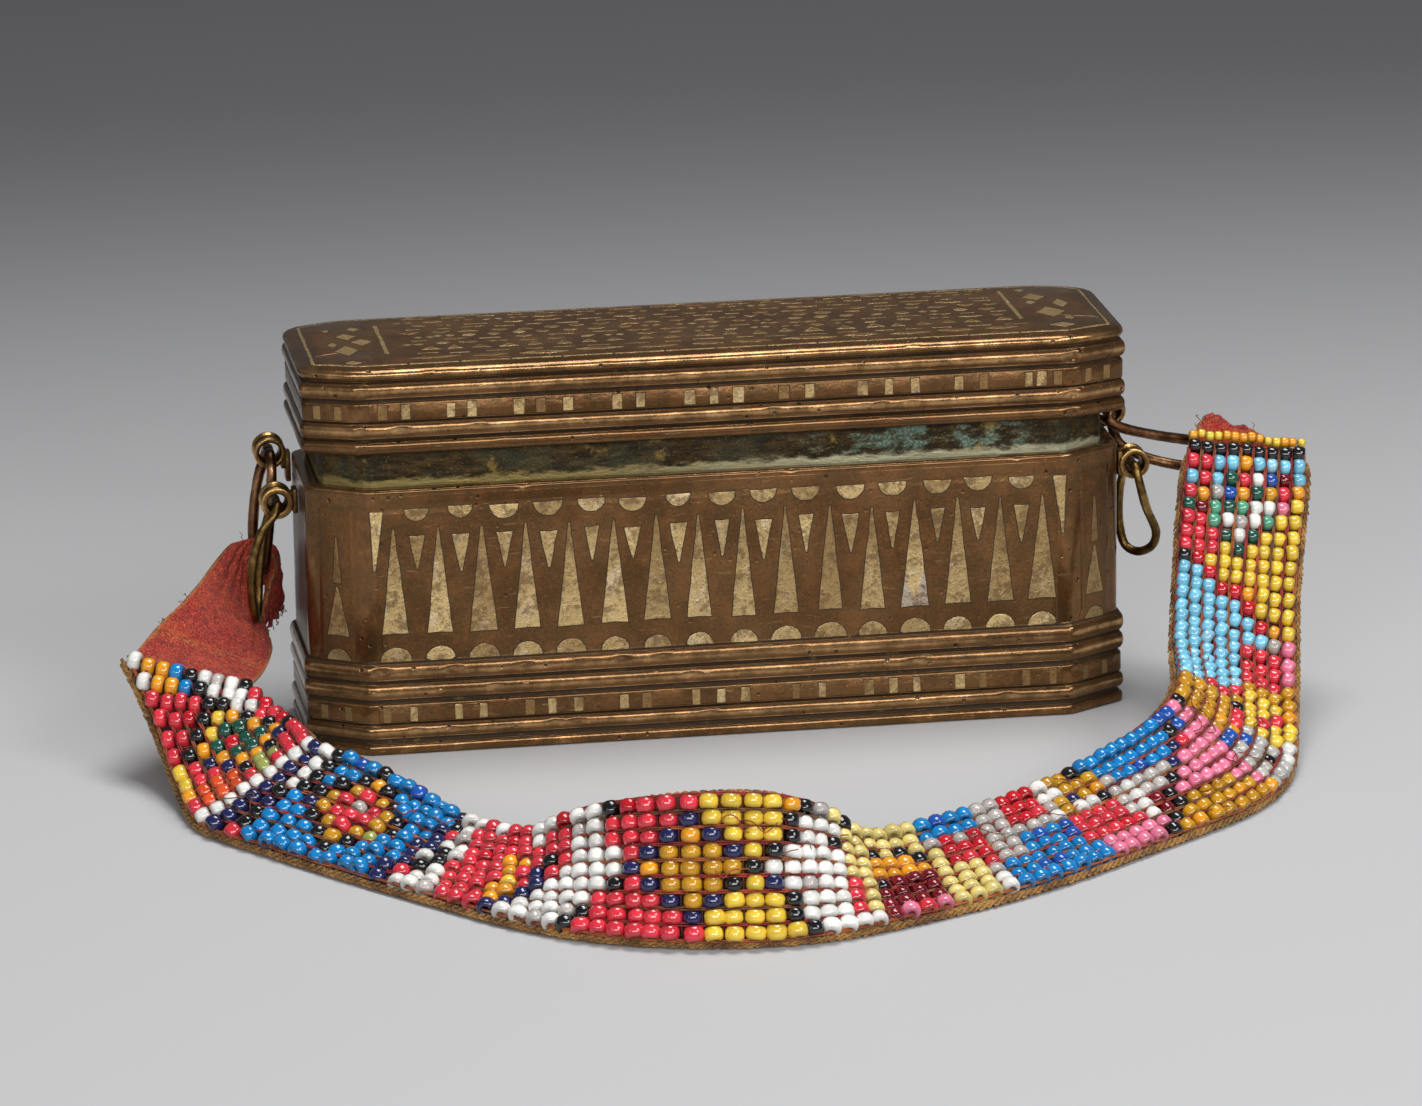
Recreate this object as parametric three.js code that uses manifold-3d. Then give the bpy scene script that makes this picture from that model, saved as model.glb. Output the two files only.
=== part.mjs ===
// Betel container: a cast brass box with an elongated eight-sided outline, a lift-off lid that sits on
// a collar, spool-shaped eyelets with wire loops on its ends, and a beaded strap held by cloth tabs.
// Millimetres, +X along the box to the right, +Y to the back, +Z up. The origin is the middle of the
// underside of the foot.

import * as THREE from 'three';
import { mergeVertices } from 'three/addons/utils/BufferGeometryUtils.js';
import Module from 'manifold-3d';

const wasm = await Module();
wasm.setup();

// Outline of the foot and of the lid: half sizes, and the two legs of the corner chamfers
const footPlan = { halfLength: 70.6, halfDepth: 18.6, chamferX: 10.2, chamferY: 6.3 };
const lidPlan = { halfLength: 70.3, halfDepth: 18.6, chamferX: 9.3, chamferY: 3.8 };
const cornerEase = 0.7;

// Mouldings: rolls stand proud of the panel, bands lie between the two
const proud = 1.0;
const bandInset = 0.4;
const bandBevel = 0.35;
const plinthInset = 0.15;
const rollSteps = 6;
const footMouldings = [
  ['plinth', 1.9], ['groove', 1.2], ['roll', 2.0], ['groove', 0.3], ['band', 3.6],
  ['groove', 0.8], ['roll', 2.1], ['groove', 1.4], ['roll', 2.6],
];
const lidMouldings = [
  ['roll', 1.8], ['groove', 1.2], ['roll', 2.2], ['groove', 0.3], ['band', 3.5],
  ['groove', 0.6], ['roll', 2.3], ['groove', 0.7],
];

// Body, collar and lid
const bodyTop = 46.0;
const bodyWall = 2.4;
const bodyFloor = 2.6;
const rimEase = 0.4;
const collarThickness = 1.0;
const collarDepthInBody = 8.0;
const collarFit = 0.3;
const neckGap = 6.4;
const lidFit = 0.5;
const lidSlabEdge = 1.7;
const lidCrown = 0.8;
const lidCrownRun = 9.0;
const lidCeilingThickness = 2.9;
const seatGap = 0.3;

// Plates that part the inside into compartments
const dividerCount = 3;
const dividerThickness = 0.8;
const dividerHeight = 49.0;

// Eyelets: short spools with a flange at both ends, on a foot that sits on the end of the box
const eyeletLength = 4.5;
const flangeWidth = 0.9;
const flangeStep = 0.35;
const eyeletSides = 14;
const lugWidth = 2.6;
const footPlateWidth = 3.0;
const footPlateHeight = 4.2;
const footPlateThickness = 0.9;
const lowerSpool = { flange: 2.65, waist: 2.15, bore: 1.6 };
const upperSpool = { flange: 2.75, waist: 2.3, bore: 1.8 };

// Wire of the loops, by its radius, and the slack of the two cut ends inside their eyelet
const copperWire = 0.9;
const brassWire = 0.75;
const wireEndGap = 0.4;
const wireRest = 0.4;
const wireSides = 8;

// Strap: nine columns of beads between two edge cords, and the cloth tabs that hold its ends
const beadColumns = 9;
const beadHalfThickness = 1.2;
const valleyHalfThickness = 0.8;
const outerCord = 0.9;
const innerCord = 0.6;
const cordGap = 0.3;
const cordSides = 6;
const strapStepsPerStation = 2;
const strapRest = 0.05;
const clothHalfThickness = 0.8;
const clothFold = 0.45;
const clothFolds = 4;
const clothSleeveWall = 1.1;
const sleeveSides = 16;
const clothSteps = 8;
const sleevePlay = 0.9;
const seamGap = 1.2;

// Cut solids lose the slivers that are thinner than this
const sliver = 0.03;

// Solids

function closedSolid(points, triangles) {
  const geometry = new THREE.BufferGeometry();
  geometry.setAttribute('position', new THREE.Float32BufferAttribute(points.flat(), 3));
  let volume = 0;
  const corners = [new THREE.Vector3(), new THREE.Vector3(), new THREE.Vector3()];
  for (const triangle of triangles) {
    triangle.forEach((index, k) => corners[k].fromArray(points[index]));
    volume += corners[0].dot(corners[1].cross(corners[2]));
  }
  const facing = volume < 0 ? triangles.map(([a, b, c]) => [a, c, b]) : triangles;
  geometry.setIndex(facing.flat());
  return geometry;
}

function weld(geometry, tolerance = 1e-5) {
  const bare = geometry.clone();
  bare.deleteAttribute('normal');
  bare.deleteAttribute('uv');
  return mergeVertices(bare, tolerance);
}

// Rings of the same even number of points joined side by side. The ends meet when the tube is a closed
// one, and otherwise each has a cap whose quads run across from one half of the ring to the other.
function ringSolid(rings, closed = false) {
  const count = rings[0].length;
  const points = rings.flat();
  const triangles = [];
  const spans = closed ? rings.length : rings.length - 1;
  for (let r = 0; r < spans; r += 1) {
    const near = r * count;
    const far = ((r + 1) % rings.length) * count;
    for (let k = 0; k < count; k += 1) {
      const next = (k + 1) % count;
      triangles.push([near + k, near + next, far + next], [near + k, far + next, far + k]);
    }
  }
  if (!closed) {
    const last = (rings.length - 1) * count;
    for (let k = 0; k < count / 2 - 1; k += 1) {
      const [a, b, c, d] = [k, k + 1, count - 2 - k, count - 1 - k];
      triangles.push([a, c, b], [a, d, c]);
      triangles.push([last + a, last + b, last + c], [last + a, last + c, last + d]);
    }
  }
  return closedSolid(points, triangles);
}

function toManifold(geometry) {
  const welded = weld(geometry);
  return new wasm.Manifold(new wasm.Mesh({
    numProp: 3,
    vertProperties: new Float32Array(welded.attributes.position.array),
    triVerts: new Uint32Array(welded.index.array),
  }));
}

function toGeometry(manifold) {
  const mesh = manifold.simplify(sliver).getMesh();
  const geometry = new THREE.BufferGeometry();
  geometry.setAttribute('position', new THREE.BufferAttribute(mesh.vertProperties, 3));
  geometry.setIndex(new THREE.BufferAttribute(mesh.triVerts, 1));
  return geometry;
}

// The eight-sided outline, moved inward by an inset, with each corner eased by a short flat
function outline(plan, inset, z) {
  const diagonal = Math.hypot(plan.chamferX, plan.chamferY);
  const shrink = inset * (plan.chamferX + plan.chamferY - diagonal);
  const a = plan.halfLength - inset;
  const b = plan.halfDepth - inset;
  const cx = plan.chamferX - shrink / plan.chamferY;
  const cy = plan.chamferY - shrink / plan.chamferX;
  const corners = [
    [a, -b + cy], [a, b - cy], [a - cx, b], [-a + cx, b],
    [-a, b - cy], [-a, -b + cy], [-a + cx, -b], [a - cx, -b],
  ].map(([x, y]) => new THREE.Vector2(x, y));
  const ring = [];
  corners.forEach((corner, k) => {
    const before = corners[(k + 7) % 8];
    const after = corners[(k + 1) % 8];
    for (const other of [before, after]) {
      const eased = other.clone().sub(corner).setLength(cornerEase).add(corner);
      ring.push([eased.x, eased.y, z]);
    }
  });
  return ring;
}

// A stack of mouldings from one height upward, as pairs of inset and height
function mouldingLevels(stack, bottom) {
  const levels = [];
  let z = bottom;
  for (const [kind, height] of stack) {
    const top = z + height;
    if (kind === 'roll') {
      for (let k = 0; k <= rollSteps; k += 1) {
        const turn = (Math.PI * k) / rollSteps;
        levels.push([proud * (1 - Math.sin(turn)), z + (height * (1 - Math.cos(turn))) / 2]);
      }
    } else if (kind === 'band') {
      levels.push([bandInset, z], [bandInset, top - bandBevel], [proud, top]);
    } else if (kind === 'plinth') {
      levels.push([plinthInset + rimEase, z], [plinthInset, z + rimEase]);
      levels.push([plinthInset, top - rimEase], [proud, top]);
    } else {
      levels.push([proud, z], [proud, top]);
    }
    z = top;
  }
  const distinct = ([inset, height], k) => k === 0
    || Math.hypot(inset - levels[k - 1][0], height - levels[k - 1][1]) > 0.01;
  return levels.filter(distinct);
}

const stackHeight = (stack) => stack.reduce((sum, [, height]) => sum + height, 0);

// Heights and insets that follow from the sizes above

const cavityInset = proud + bodyWall;
const collarInset = cavityInset + collarFit;
const collarInner = collarInset + collarThickness;
const lidRim = bodyTop + neckGap;
const lidEdgeTop = lidRim + stackHeight(lidMouldings) + lidSlabEdge;
const lidTop = lidEdgeTop + lidCrown;
const lidCeiling = lidTop - lidCeilingThickness;
const collarTop = lidCeiling - seatGap;
const endFace = footPlan.halfLength - proud;

// Body: foot mouldings, plain panel and the hollow inside

function makeBody() {
  const levels = mouldingLevels(footMouldings, 0);
  levels.push([proud, bodyTop - rimEase], [proud + rimEase, bodyTop]);
  levels.push([cavityInset, bodyTop], [cavityInset, bodyFloor]);
  return ringSolid(levels.map(([inset, z]) => outline(footPlan, inset, z)));
}

function makeCollar() {
  const bottom = bodyTop - collarDepthInBody;
  const levels = [
    [collarInset, bottom], [collarInset, collarTop], [collarInner, collarTop], [collarInner, bottom],
  ];
  return ringSolid(levels.map(([inset, z]) => outline(footPlan, inset, z)), true);
}

function makeLid() {
  const lidCavity = collarInset - lidFit;
  const rings = [outline(footPlan, lidCavity, lidCeiling), outline(footPlan, lidCavity, lidRim)];
  const levels = mouldingLevels(lidMouldings, lidRim);
  const slab = lidEdgeTop - lidSlabEdge;
  levels.push([proud / 4, slab + lidSlabEdge / 8], [0, slab + lidSlabEdge / 2]);
  levels.push([proud / 4, lidEdgeTop - lidSlabEdge / 8], [proud, lidEdgeTop + lidCrown / 4]);
  levels.push([lidCrownRun / 2, lidTop - lidCrown / 8], [lidCrownRun, lidTop]);
  for (const [inset, z] of levels) {
    rings.push(outline(lidPlan, inset, z));
  }
  return ringSolid(rings);
}

function makeDivider() {
  const depth = 2 * (footPlan.halfDepth - collarInner - seatGap);
  return new THREE.BoxGeometry(dividerThickness, depth, dividerHeight);
}

// Eyelets, each on its own foot: side is -1 on the left end and 1 on the right end

function makeSpool(size) {
  const end = eyeletLength / 2;
  const inner = end - flangeWidth;
  const half = [
    [size.bore, end], [size.flange, end], [size.flange, inner], [size.waist, inner - flangeStep],
  ];
  const mirrored = half.map(([r, y]) => [r, -y]).reverse();
  const profile = [...half, ...mirrored, half[0]].map(([r, y]) => new THREE.Vector2(r, y));
  return toManifold(new THREE.LatheGeometry(profile.reverse(), eyeletSides));
}

function boxAt(sizeX, sizeY, sizeZ, x, y, z) {
  return toManifold(new THREE.BoxGeometry(sizeX, sizeY, sizeZ).translate(x, y, z));
}

function makeEyelet(eyelet) {
  const { side, spool, onLedge } = eyelet;
  const centre = eyeletCentre(eyelet);
  const bore = toManifold(new THREE.CylinderGeometry(spool.bore, spool.bore, eyeletLength * 2, eyeletSides));
  let solid = makeSpool(spool);
  if (onLedge) {
    const ledgeMiddle = footPlan.halfLength - (proud + cavityInset) / 2;
    const foot = bodyTop + seatGap - centre.z;
    const height = -foot - spool.bore / 2;
    solid = solid.add(boxAt(bodyWall / 2, lugWidth, height, side * ledgeMiddle - centre.x, 0, foot + height / 2));
  } else {
    const reach = side * centre.x - endFace - seatGap;
    const plateZ = Math.min(0, bodyTop - rimEase - footPlateHeight / 2 - centre.z);
    const armZ = plateZ / 2;
    const plateX = side * (footPlateThickness / 2 - reach);
    solid = solid.add(boxAt(reach, lugWidth, footPlateHeight - 1, (-side * reach) / 2, 0, armZ));
    solid = solid.add(boxAt(footPlateThickness, footPlateWidth, footPlateHeight, plateX, 0, plateZ));
  }
  return toGeometry(solid.subtract(bore));
}

// Wire and cord: a round section swept along a route

function sweep(points, radius, sides, steps) {
  const curve = new THREE.CatmullRomCurve3(points, false, 'centripetal');
  const section = new THREE.Shape();
  for (let k = 0; k < sides; k += 1) {
    const turn = (2 * Math.PI * k) / sides;
    const move = k === 0 ? 'moveTo' : 'lineTo';
    section[move](radius * Math.cos(turn), radius * Math.sin(turn));
  }
  section.closePath();
  return weld(new THREE.ExtrudeGeometry(section, { steps, bevelEnabled: false, extrudePath: curve }));
}

// A loop starts and ends inside the bore of its eyelet and leaves it at both sides. Its route between
// the two sides is given from the middle of the eyelet.
function makeLoop(wire, route, steps) {
  const exit = eyeletLength / 2 + wire / 2;
  const points = [
    [0, -wireEndGap / 2, -wireRest], [0, -exit, -wireRest], ...route,
    [0, exit, -wireRest], [0, wireEndGap / 2, -wireRest],
  ];
  return sweep(points.map((p) => new THREE.Vector3(...p)), wire, wireSides, steps);
}

// Strap: each station has a point on the outer cord and one on the inner cord. Where the strap lies
// down, its outer cord is on the ground; the ends climb to the cloth tabs. Near each end of the box the
// points are given by how far out of that end they are, and in the middle by their place along the box.
const ground = outerCord + strapRest;
const outOf = (side, stations) => stations.map((station) => station.map(
  ([out, y, z]) => [side * (endFace + out), y, z],
));
const strapStations = [
  ...outOf(-1, [
    [[31.9, -19, 20], [10.9, -25, 14.8]],
    [[27.9, -27, 11], [6.4, -34, 12.5]],
    [[25.2, -39, 3.6], [3.9, -42, 12.8]],
    [[22.4, -55, ground], [2.4, -52, 13]],
    [[13.4, -68.5, ground], [-3.4, -58, 12]],
    [[2.7, -83, ground], [-11, -67, 9.5]],
    [[-10, -99, ground], [-18.7, -78.5, 7.2]],
  ]),
  [[-47.8, -113, ground], [-43, -92, 9.2]],
  [[-36.2, -122, ground], [-34.3, -105.5, 16.9]],
  [[-24, -127, ground], [-23, -117.5, 22]],
  [[-10.7, -129, ground], [-9.5, -119.5, 22]],
  [[-0.4, -128, ground], [0, -111.3, 16.5]],
  [[10.9, -124, ground], [9.4, -102, 8.4]],
  [[33.7, -112.5, ground], [29, -91, 7.6]],
  ...outOf(1, [
    [[-11.9, -95, ground], [-19.9, -75, 8.8]],
    [[9.4, -77, ground], [-6.1, -66, 13.5]],
    [[18.4, -62, 1.6], [0.9, -53, 15]],
    [[23.6, -43.8, 9.6], [4.7, -34, 17]],
    [[27.3, -28.8, 23], [7.3, -24.6, 26.5]],
    [[32.4, -13.5, 36], [10.7, -13.8, 37.5]],
    [[33.4, -10, 41.4], [13.3, -6.8, 43.6]],
  ]),
];

function edgeCurve(stations, which) {
  const points = stations.map((station) => new THREE.Vector3(...station[which]));
  return new THREE.CatmullRomCurve3(points, false, 'centripetal');
}

// A ribbon between two edges, kept at a distance from each. Its section at a share of the length is a
// ring of pairs: the share of the way across, and the offset along the ribbon's own normal.
function ribbon(edgeA, edgeB, sectionAt, steps, marginA = 0, marginB = 0) {
  const rings = [];
  for (let k = 0; k <= steps; k += 1) {
    const t = k / steps;
    const a = edgeA.getPoint(t);
    const b = edgeB.getPoint(t);
    const tangentA = edgeA.getTangent(t);
    const tangentB = edgeB.getTangent(t);
    const across = b.clone().sub(a).normalize();
    const normal = across.clone().cross(tangentA.clone().add(tangentB)).normalize();
    const start = a.addScaledVector(across, marginA / across.clone().cross(tangentA).length());
    const end = b.addScaledVector(across, -marginB / across.clone().cross(tangentB).length());
    rings.push(sectionAt(t).map(([share, offset]) => start.clone().lerp(end, share)
      .addScaledVector(normal, offset).toArray()));
  }
  return ringSolid(rings);
}

// The section of the beadwork swells at every column of beads, on both faces
function beadSection() {
  const face = [];
  for (let k = 0; k < beadColumns; k += 1) {
    face.push([(k + 0.5) / beadColumns, beadHalfThickness]);
    if (k < beadColumns - 1) {
      face.push([(k + 1) / beadColumns, valleyHalfThickness]);
    }
  }
  const back = face.map(([share, offset]) => [share, -offset]).reverse();
  return [[0, valleyHalfThickness], ...face, [1, valleyHalfThickness], [1, -valleyHalfThickness], ...back,
    [0, -valleyHalfThickness]];
}

const strapOuter = edgeCurve(strapStations, 0);
const strapInner = edgeCurve(strapStations, 1);
const strapSteps = strapStepsPerStation * (strapStations.length - 1);

function makeBeadwork() {
  return ribbon(strapOuter, strapInner, beadSection, strapSteps, outerCord + cordGap, innerCord + cordGap);
}

function makeEdgeCord(edge, otherEdge, radius) {
  const rings = [];
  for (let k = 0; k <= strapSteps; k += 1) {
    const middle = edge.getPoint(k / strapSteps);
    const tangent = edge.getTangent(k / strapSteps);
    const across = otherEdge.getPoint(k / strapSteps).sub(middle).projectOnPlane(tangent).normalize();
    const normal = across.clone().cross(tangent);
    const ring = [];
    for (let side = 0; side < cordSides; side += 1) {
      const turn = (2 * Math.PI * (side + 0.5)) / cordSides;
      const corner = middle.clone().addScaledVector(across, radius * Math.cos(turn));
      ring.push(corner.addScaledVector(normal, radius * Math.sin(turn)).toArray());
    }
    rings.push(ring);
  }
  return ringSolid(rings);
}

// Cloth tabs: gathered where they wrap a wire loop, and as wide as the strap where they are sewn to it.
// The folds of the cloth are waves across the tab, deepest halfway along it.
function clothSection(t) {
  const face = [];
  const samples = clothFolds * 2;
  for (let k = 0; k <= samples; k += 1) {
    const wave = clothFold * Math.sin(Math.PI * t) * Math.cos(Math.PI * k);
    face.push([k / samples, clothHalfThickness + wave]);
  }
  const back = face.map(([share, offset]) => [share, offset - 2 * clothHalfThickness]).reverse();
  return [...face, ...back];
}

function makeTab({ stations, strapEnd, eyelet, sleeve }) {
  const centre = eyeletCentre(eyelet);
  const fromCentre = (point) => centre.clone().add(new THREE.Vector3(...point)).toArray();
  const outerEnd = strapOuter.getPoint(strapEnd);
  const innerEnd = strapInner.getPoint(strapEnd);
  const away = strapEnd === 0 ? -1 : 1;
  const along = strapOuter.getTangent(strapEnd).add(strapInner.getTangent(strapEnd)).setLength(away);
  const across = innerEnd.clone().sub(outerEnd).normalize();
  const seam = [
    outerEnd.addScaledVector(along, seamGap).addScaledVector(across, outerCord).toArray(),
    innerEnd.addScaledVector(along, seamGap).addScaledVector(across, -innerCord).toArray(),
  ];
  const full = [...stations.map((station) => station.map(fromCentre)), seam];
  const cloth = ribbon(edgeCurve(full, 0), edgeCurve(full, 1), clothSection, clothSteps);
  const axis = new THREE.Vector3(...sleeve.axis).normalize();
  const turn = new THREE.Quaternion().setFromUnitVectors(new THREE.Vector3(0, 1, 0), axis);
  const bore = copperWire + sleevePlay + seatGap;
  const round = (radius, length) => toManifold(
    new THREE.CylinderGeometry(radius, radius, length, sleeveSides)
      .applyQuaternion(turn).translate(...fromCentre(sleeve.centre)),
  );
  const outside = round(bore + clothSleeveWall, sleeve.length);
  const inside = round(bore, sleeve.length * 3);
  return toGeometry(toManifold(cloth).add(outside).subtract(inside));
}

// Where the eyelets sit: how far out of the end of the box, how far to the back, and how far below the
// top of the body. Then the way each loop hangs from its eyelet.

const eyelets = {
  lower_left: { side: -1, out: 3.8, back: -0.9, below: 5.2, spool: lowerSpool },
  lower_right: { side: 1, out: 3.1, back: -8.7, below: 4.3, spool: lowerSpool },
  upper_left: { side: -1, out: 3.8, back: 10.0, below: -0.7, spool: upperSpool },
  upper_right: { side: 1, out: 0.5, back: -0.8, below: -3.15, spool: upperSpool, onLedge: true },
};

function eyeletCentre({ side, out, back, below }) {
  return new THREE.Vector3(side * (endFace + out), back, bodyTop - below);
}

const loops = {
  lower_left: {
    wire: brassWire,
    steps: 34,
    route: [
      [-0.9, -3.8, -1.8], [-2.8, -4.1, -4.1], [-4.3, -4.2, -8.2], [-5.0, -4.0, -13.4], [-4.5, -2.7, -18.8],
      [-3.9, -0.3, -20.6], [-3.4, 2.1, -18.8], [-2.8, 3.5, -12.8], [-1.8, 3.8, -6.3], [-0.5, 3.5, -1.9],
    ],
  },
  lower_right: {
    wire: brassWire,
    steps: 34,
    route: [
      [0.3, -3.6, -2.1], [1.8, -3.1, -7.5], [3.9, -1.5, -12.5], [3.5, 0.5, -15.5], [1.5, 2.7, -16.9],
      [-0.2, 4.3, -16.1], [-1.1, 4.9, -12.7], [-1.2, 4.7, -6.7], [-0.4, 3.9, -2.0],
    ],
  },
  upper_left: {
    wire: copperWire,
    steps: 40,
    route: [
      [0.0, -4.1, -2.4], [-0.2, -4.2, -6.0], [-0.9, -4.1, -13.7], [-1.5, -3.6, -18.5], [-1.9, -2.0, -20.4],
      [-2.3, 0.0, -20.6], [-2.6, 2.0, -20.3], [-2.8, 3.6, -18.3], [-2.7, 4.2, -13.7], [-1.6, 4.2, -6.0],
      [-0.4, 4.0, -2.2],
    ],
  },
  upper_right: {
    wire: copperWire,
    steps: 48,
    route: [
      [-0.6, -3.9, -1.1], [1.2, -3.8, -2.4], [6.9, -2.8, -4.3], [14.5, -0.8, -6.3], [21.5, 0.4, -7.8],
      [24.2, 1.3, -9.2], [24.8, 2.2, -10.8], [23.2, 2.8, -12.2], [19.0, 2.9, -12.5], [11.0, 3.3, -11.2],
      [6.4, 4.6, -9.8], [3.2, 5.8, -7.8], [2.0, 5.9, -4.6], [0.9, 4.6, -1.9],
    ],
  },
};

// Each tab's points are given from the middle of the eyelet whose loop it wraps
const tabs = {
  left: {
    stations: [
      [[-4.0, 1.5, -18.9], [-4.0, -1.5, -21.9]], [[-9.1, -2.0, -17.7], [-7.2, -5.5, -25.2]],
      [[-14.6, -11.0, -19.7], [-7.6, -13.5, -27.9]], [[-21.6, -20.5, -22.9], [-6.6, -22.0, -29.7]],
    ],
    strapEnd: 0,
    eyelet: eyelets.upper_left,
    sleeve: { centre: [-2.3, 0, -20.55], axis: [-0.18, 1, 0], length: 3.4 },
  },
  right: {
    stations: [
      [[21.1, -1.3, -5.85], [18.1, -1.8, -5.25]], [[25.9, -4.4, -4.75], [15.5, -4.2, -3.85]],
    ],
    strapEnd: 1,
    eyelet: eyelets.upper_right,
    sleeve: { centre: [19.6, 0.4, -7.25], axis: [1, 0.17, -0.21], length: 3.8 },
  },
};

// Materials

const metal = (color, roughness) => new THREE.MeshStandardMaterial({ color, roughness, metalness: 1 });
const cloth = (color) => new THREE.MeshStandardMaterial({ color, roughness: 0.95, metalness: 0 });
const patinatedBrass = metal(0x7d5a33, 0.42);
const verdigrisBrass = metal(0x7c7a4e, 0.6);
const plainBrass = metal(0x8a6a38, 0.38);
const copper = metal(0x86502f, 0.4);
const glassBeads = new THREE.MeshStandardMaterial({ color: 0xc8505a, roughness: 0.25, metalness: 0 });
const edgeThread = cloth(0x8a6428);
const redCloth = cloth(0xa5281f);

// Assembly

const container = new THREE.Group();

function place(parent, name, geometry, material, position = [0, 0, 0]) {
  const mesh = new THREE.Mesh(geometry, material);
  mesh.name = name;
  mesh.position.set(...position);
  parent.add(mesh);
}

place(container, 'body', makeBody(), patinatedBrass);
place(container, 'collar', makeCollar(), verdigrisBrass);
place(container, 'lid', makeLid(), patinatedBrass);

const innerHalfLength = footPlan.halfLength - collarInner;
const compartment = (2 * innerHalfLength) / (dividerCount + 1);
for (let k = 1; k <= dividerCount; k += 1) {
  const x = -innerHalfLength + k * compartment;
  const z = bodyFloor + seatGap + dividerHeight / 2;
  place(container, `divider_${k}`, makeDivider(), verdigrisBrass, [x, 0, z]);
}

for (const [where, eyelet] of Object.entries(eyelets)) {
  const fitting = new THREE.Group();
  fitting.position.copy(eyeletCentre(eyelet));
  const { wire, route, steps } = loops[where];
  place(fitting, `eyelet_${where}`, makeEyelet(eyelet), plainBrass);
  place(fitting, `loop_${where}`, makeLoop(wire, route, steps), wire === copperWire ? copper : plainBrass);
  container.add(fitting);
}

const strap = new THREE.Group();
place(strap, 'strap_beadwork', makeBeadwork(), glassBeads);
place(strap, 'strap_cord_outer', makeEdgeCord(strapOuter, strapInner, outerCord), edgeThread);
place(strap, 'strap_cord_inner', makeEdgeCord(strapInner, strapOuter, innerCord), edgeThread);
place(strap, 'cloth_tab_left', makeTab(tabs.left), redCloth);
place(strap, 'cloth_tab_right', makeTab(tabs.right), redCloth);
container.add(strap);

export default container;
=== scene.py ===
import math
import random

import bmesh
import bpy
import numpy as np
from mathutils import Matrix, Vector, noise
from mathutils.bvhtree import BVHTree


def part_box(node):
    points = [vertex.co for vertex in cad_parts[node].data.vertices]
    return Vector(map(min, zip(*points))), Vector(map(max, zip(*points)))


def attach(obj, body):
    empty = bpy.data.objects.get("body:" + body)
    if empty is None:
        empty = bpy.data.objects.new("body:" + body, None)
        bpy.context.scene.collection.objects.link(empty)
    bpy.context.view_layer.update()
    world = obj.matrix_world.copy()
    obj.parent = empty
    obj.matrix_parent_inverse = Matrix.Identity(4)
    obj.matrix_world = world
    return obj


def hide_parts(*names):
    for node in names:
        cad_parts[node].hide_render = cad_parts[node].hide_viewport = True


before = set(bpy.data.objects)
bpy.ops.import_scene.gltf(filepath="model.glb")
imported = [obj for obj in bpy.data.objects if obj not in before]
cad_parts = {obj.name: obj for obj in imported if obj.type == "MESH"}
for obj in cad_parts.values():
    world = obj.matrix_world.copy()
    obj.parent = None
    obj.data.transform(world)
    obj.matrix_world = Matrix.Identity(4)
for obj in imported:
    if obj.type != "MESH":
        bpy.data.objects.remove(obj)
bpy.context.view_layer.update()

# Betel container with a beaded strap. Shapes are worked out in millimetres, in the frame of the packed
# model: +X along the box to the right, +Y to the back, +Z up. They become metres when a mesh is made.
MM = 0.001


def node_box(node):
    low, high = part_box(node)
    return low / MM, high / MM


# Sizes of the box, from the frame and as in the part's source
_, foot_high = node_box("body")
lid_low, lid_high = node_box("lid")
FOOT_PLAN = {"half_length": foot_high.x, "half_depth": foot_high.y, "chamfer": (10.2, 6.3)}
LID_PLAN = {"half_length": lid_high.x, "half_depth": lid_high.y, "chamfer": (9.3, 3.8)}
PROUD = 1.0
BAND_INSET = 0.4
BAND_BEVEL = 0.35
ROLL_SWELL = 0.38
FOOT_STACK = (
    ("plinth", 1.9), ("groove", 1.2), ("roll", 2.0), ("groove", 0.3), ("band", 3.6),
    ("groove", 0.8), ("roll", 2.1), ("groove", 1.4), ("roll", 2.6),
)
LID_STACK = (
    ("roll", 1.8), ("groove", 1.2), ("roll", 2.2), ("groove", 0.3), ("band", 3.5),
    ("groove", 0.6), ("roll", 2.3), ("groove", 0.7),
)
FOOT_TOP = sum(height for _, height in FOOT_STACK)
BODY_TOP = foot_high.z
CAVITY_INSET = 3.4
BODY_FLOOR = 2.6
LID_RIM = lid_low.z
LID_CAVITY_INSET = 3.2
LID_SLAB_EDGE = 1.7
LID_CROWN = 0.8
LID_CROWN_RUN = 9.0
LID_TOP = lid_high.z
LID_CEILING = LID_TOP - 2.9
END_FACE = foot_high.x - PROUD

# Camera, fitted to the edges of the box in the photograph
CAMERA_TARGET = Vector((0, 0, 40))
CAMERA_DISTANCE = 1194.6
CAMERA_AZIMUTH = math.radians(-8.826)
CAMERA_ELEVATION = math.radians(15.823)
CAMERA_ROLL = math.radians(-0.778)
CAMERA_OFF_AXIS = (-1.136, 12.432)
CAMERA_LENS = 177.2
CAMERA_SENSOR = 36
CAMERA_REACH = 50


# Meshes


def linked(name, data):
    """A new object in the scene."""
    thing = bpy.data.objects.new(name, data)
    bpy.context.scene.collection.objects.link(thing)
    return thing


def carry(mesh, attributes):
    """Puts numbers, colours or, for turn and stretch, vectors on the points of a mesh."""
    for key, values in attributes.items():
        values = np.asarray(values, np.float32)
        kind, field = "FLOAT", "value"
        if key in ("turn", "stretch"):
            kind, field = "FLOAT_VECTOR", "vector"
        elif values.ndim > 1:
            kind, field = "FLOAT_COLOR", "color"
            values = np.hstack([values, np.ones((len(values), 1), np.float32)])
        mesh.attributes.new(key, kind, "POINT").data.foreach_set(field, values.ravel())


def edited(mesh, change):
    """What a change gives that runs on the editable form of a mesh."""
    work = bmesh.new()
    work.from_mesh(mesh)
    made = change(work)
    work.to_mesh(mesh)
    work.free()
    return made


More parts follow.
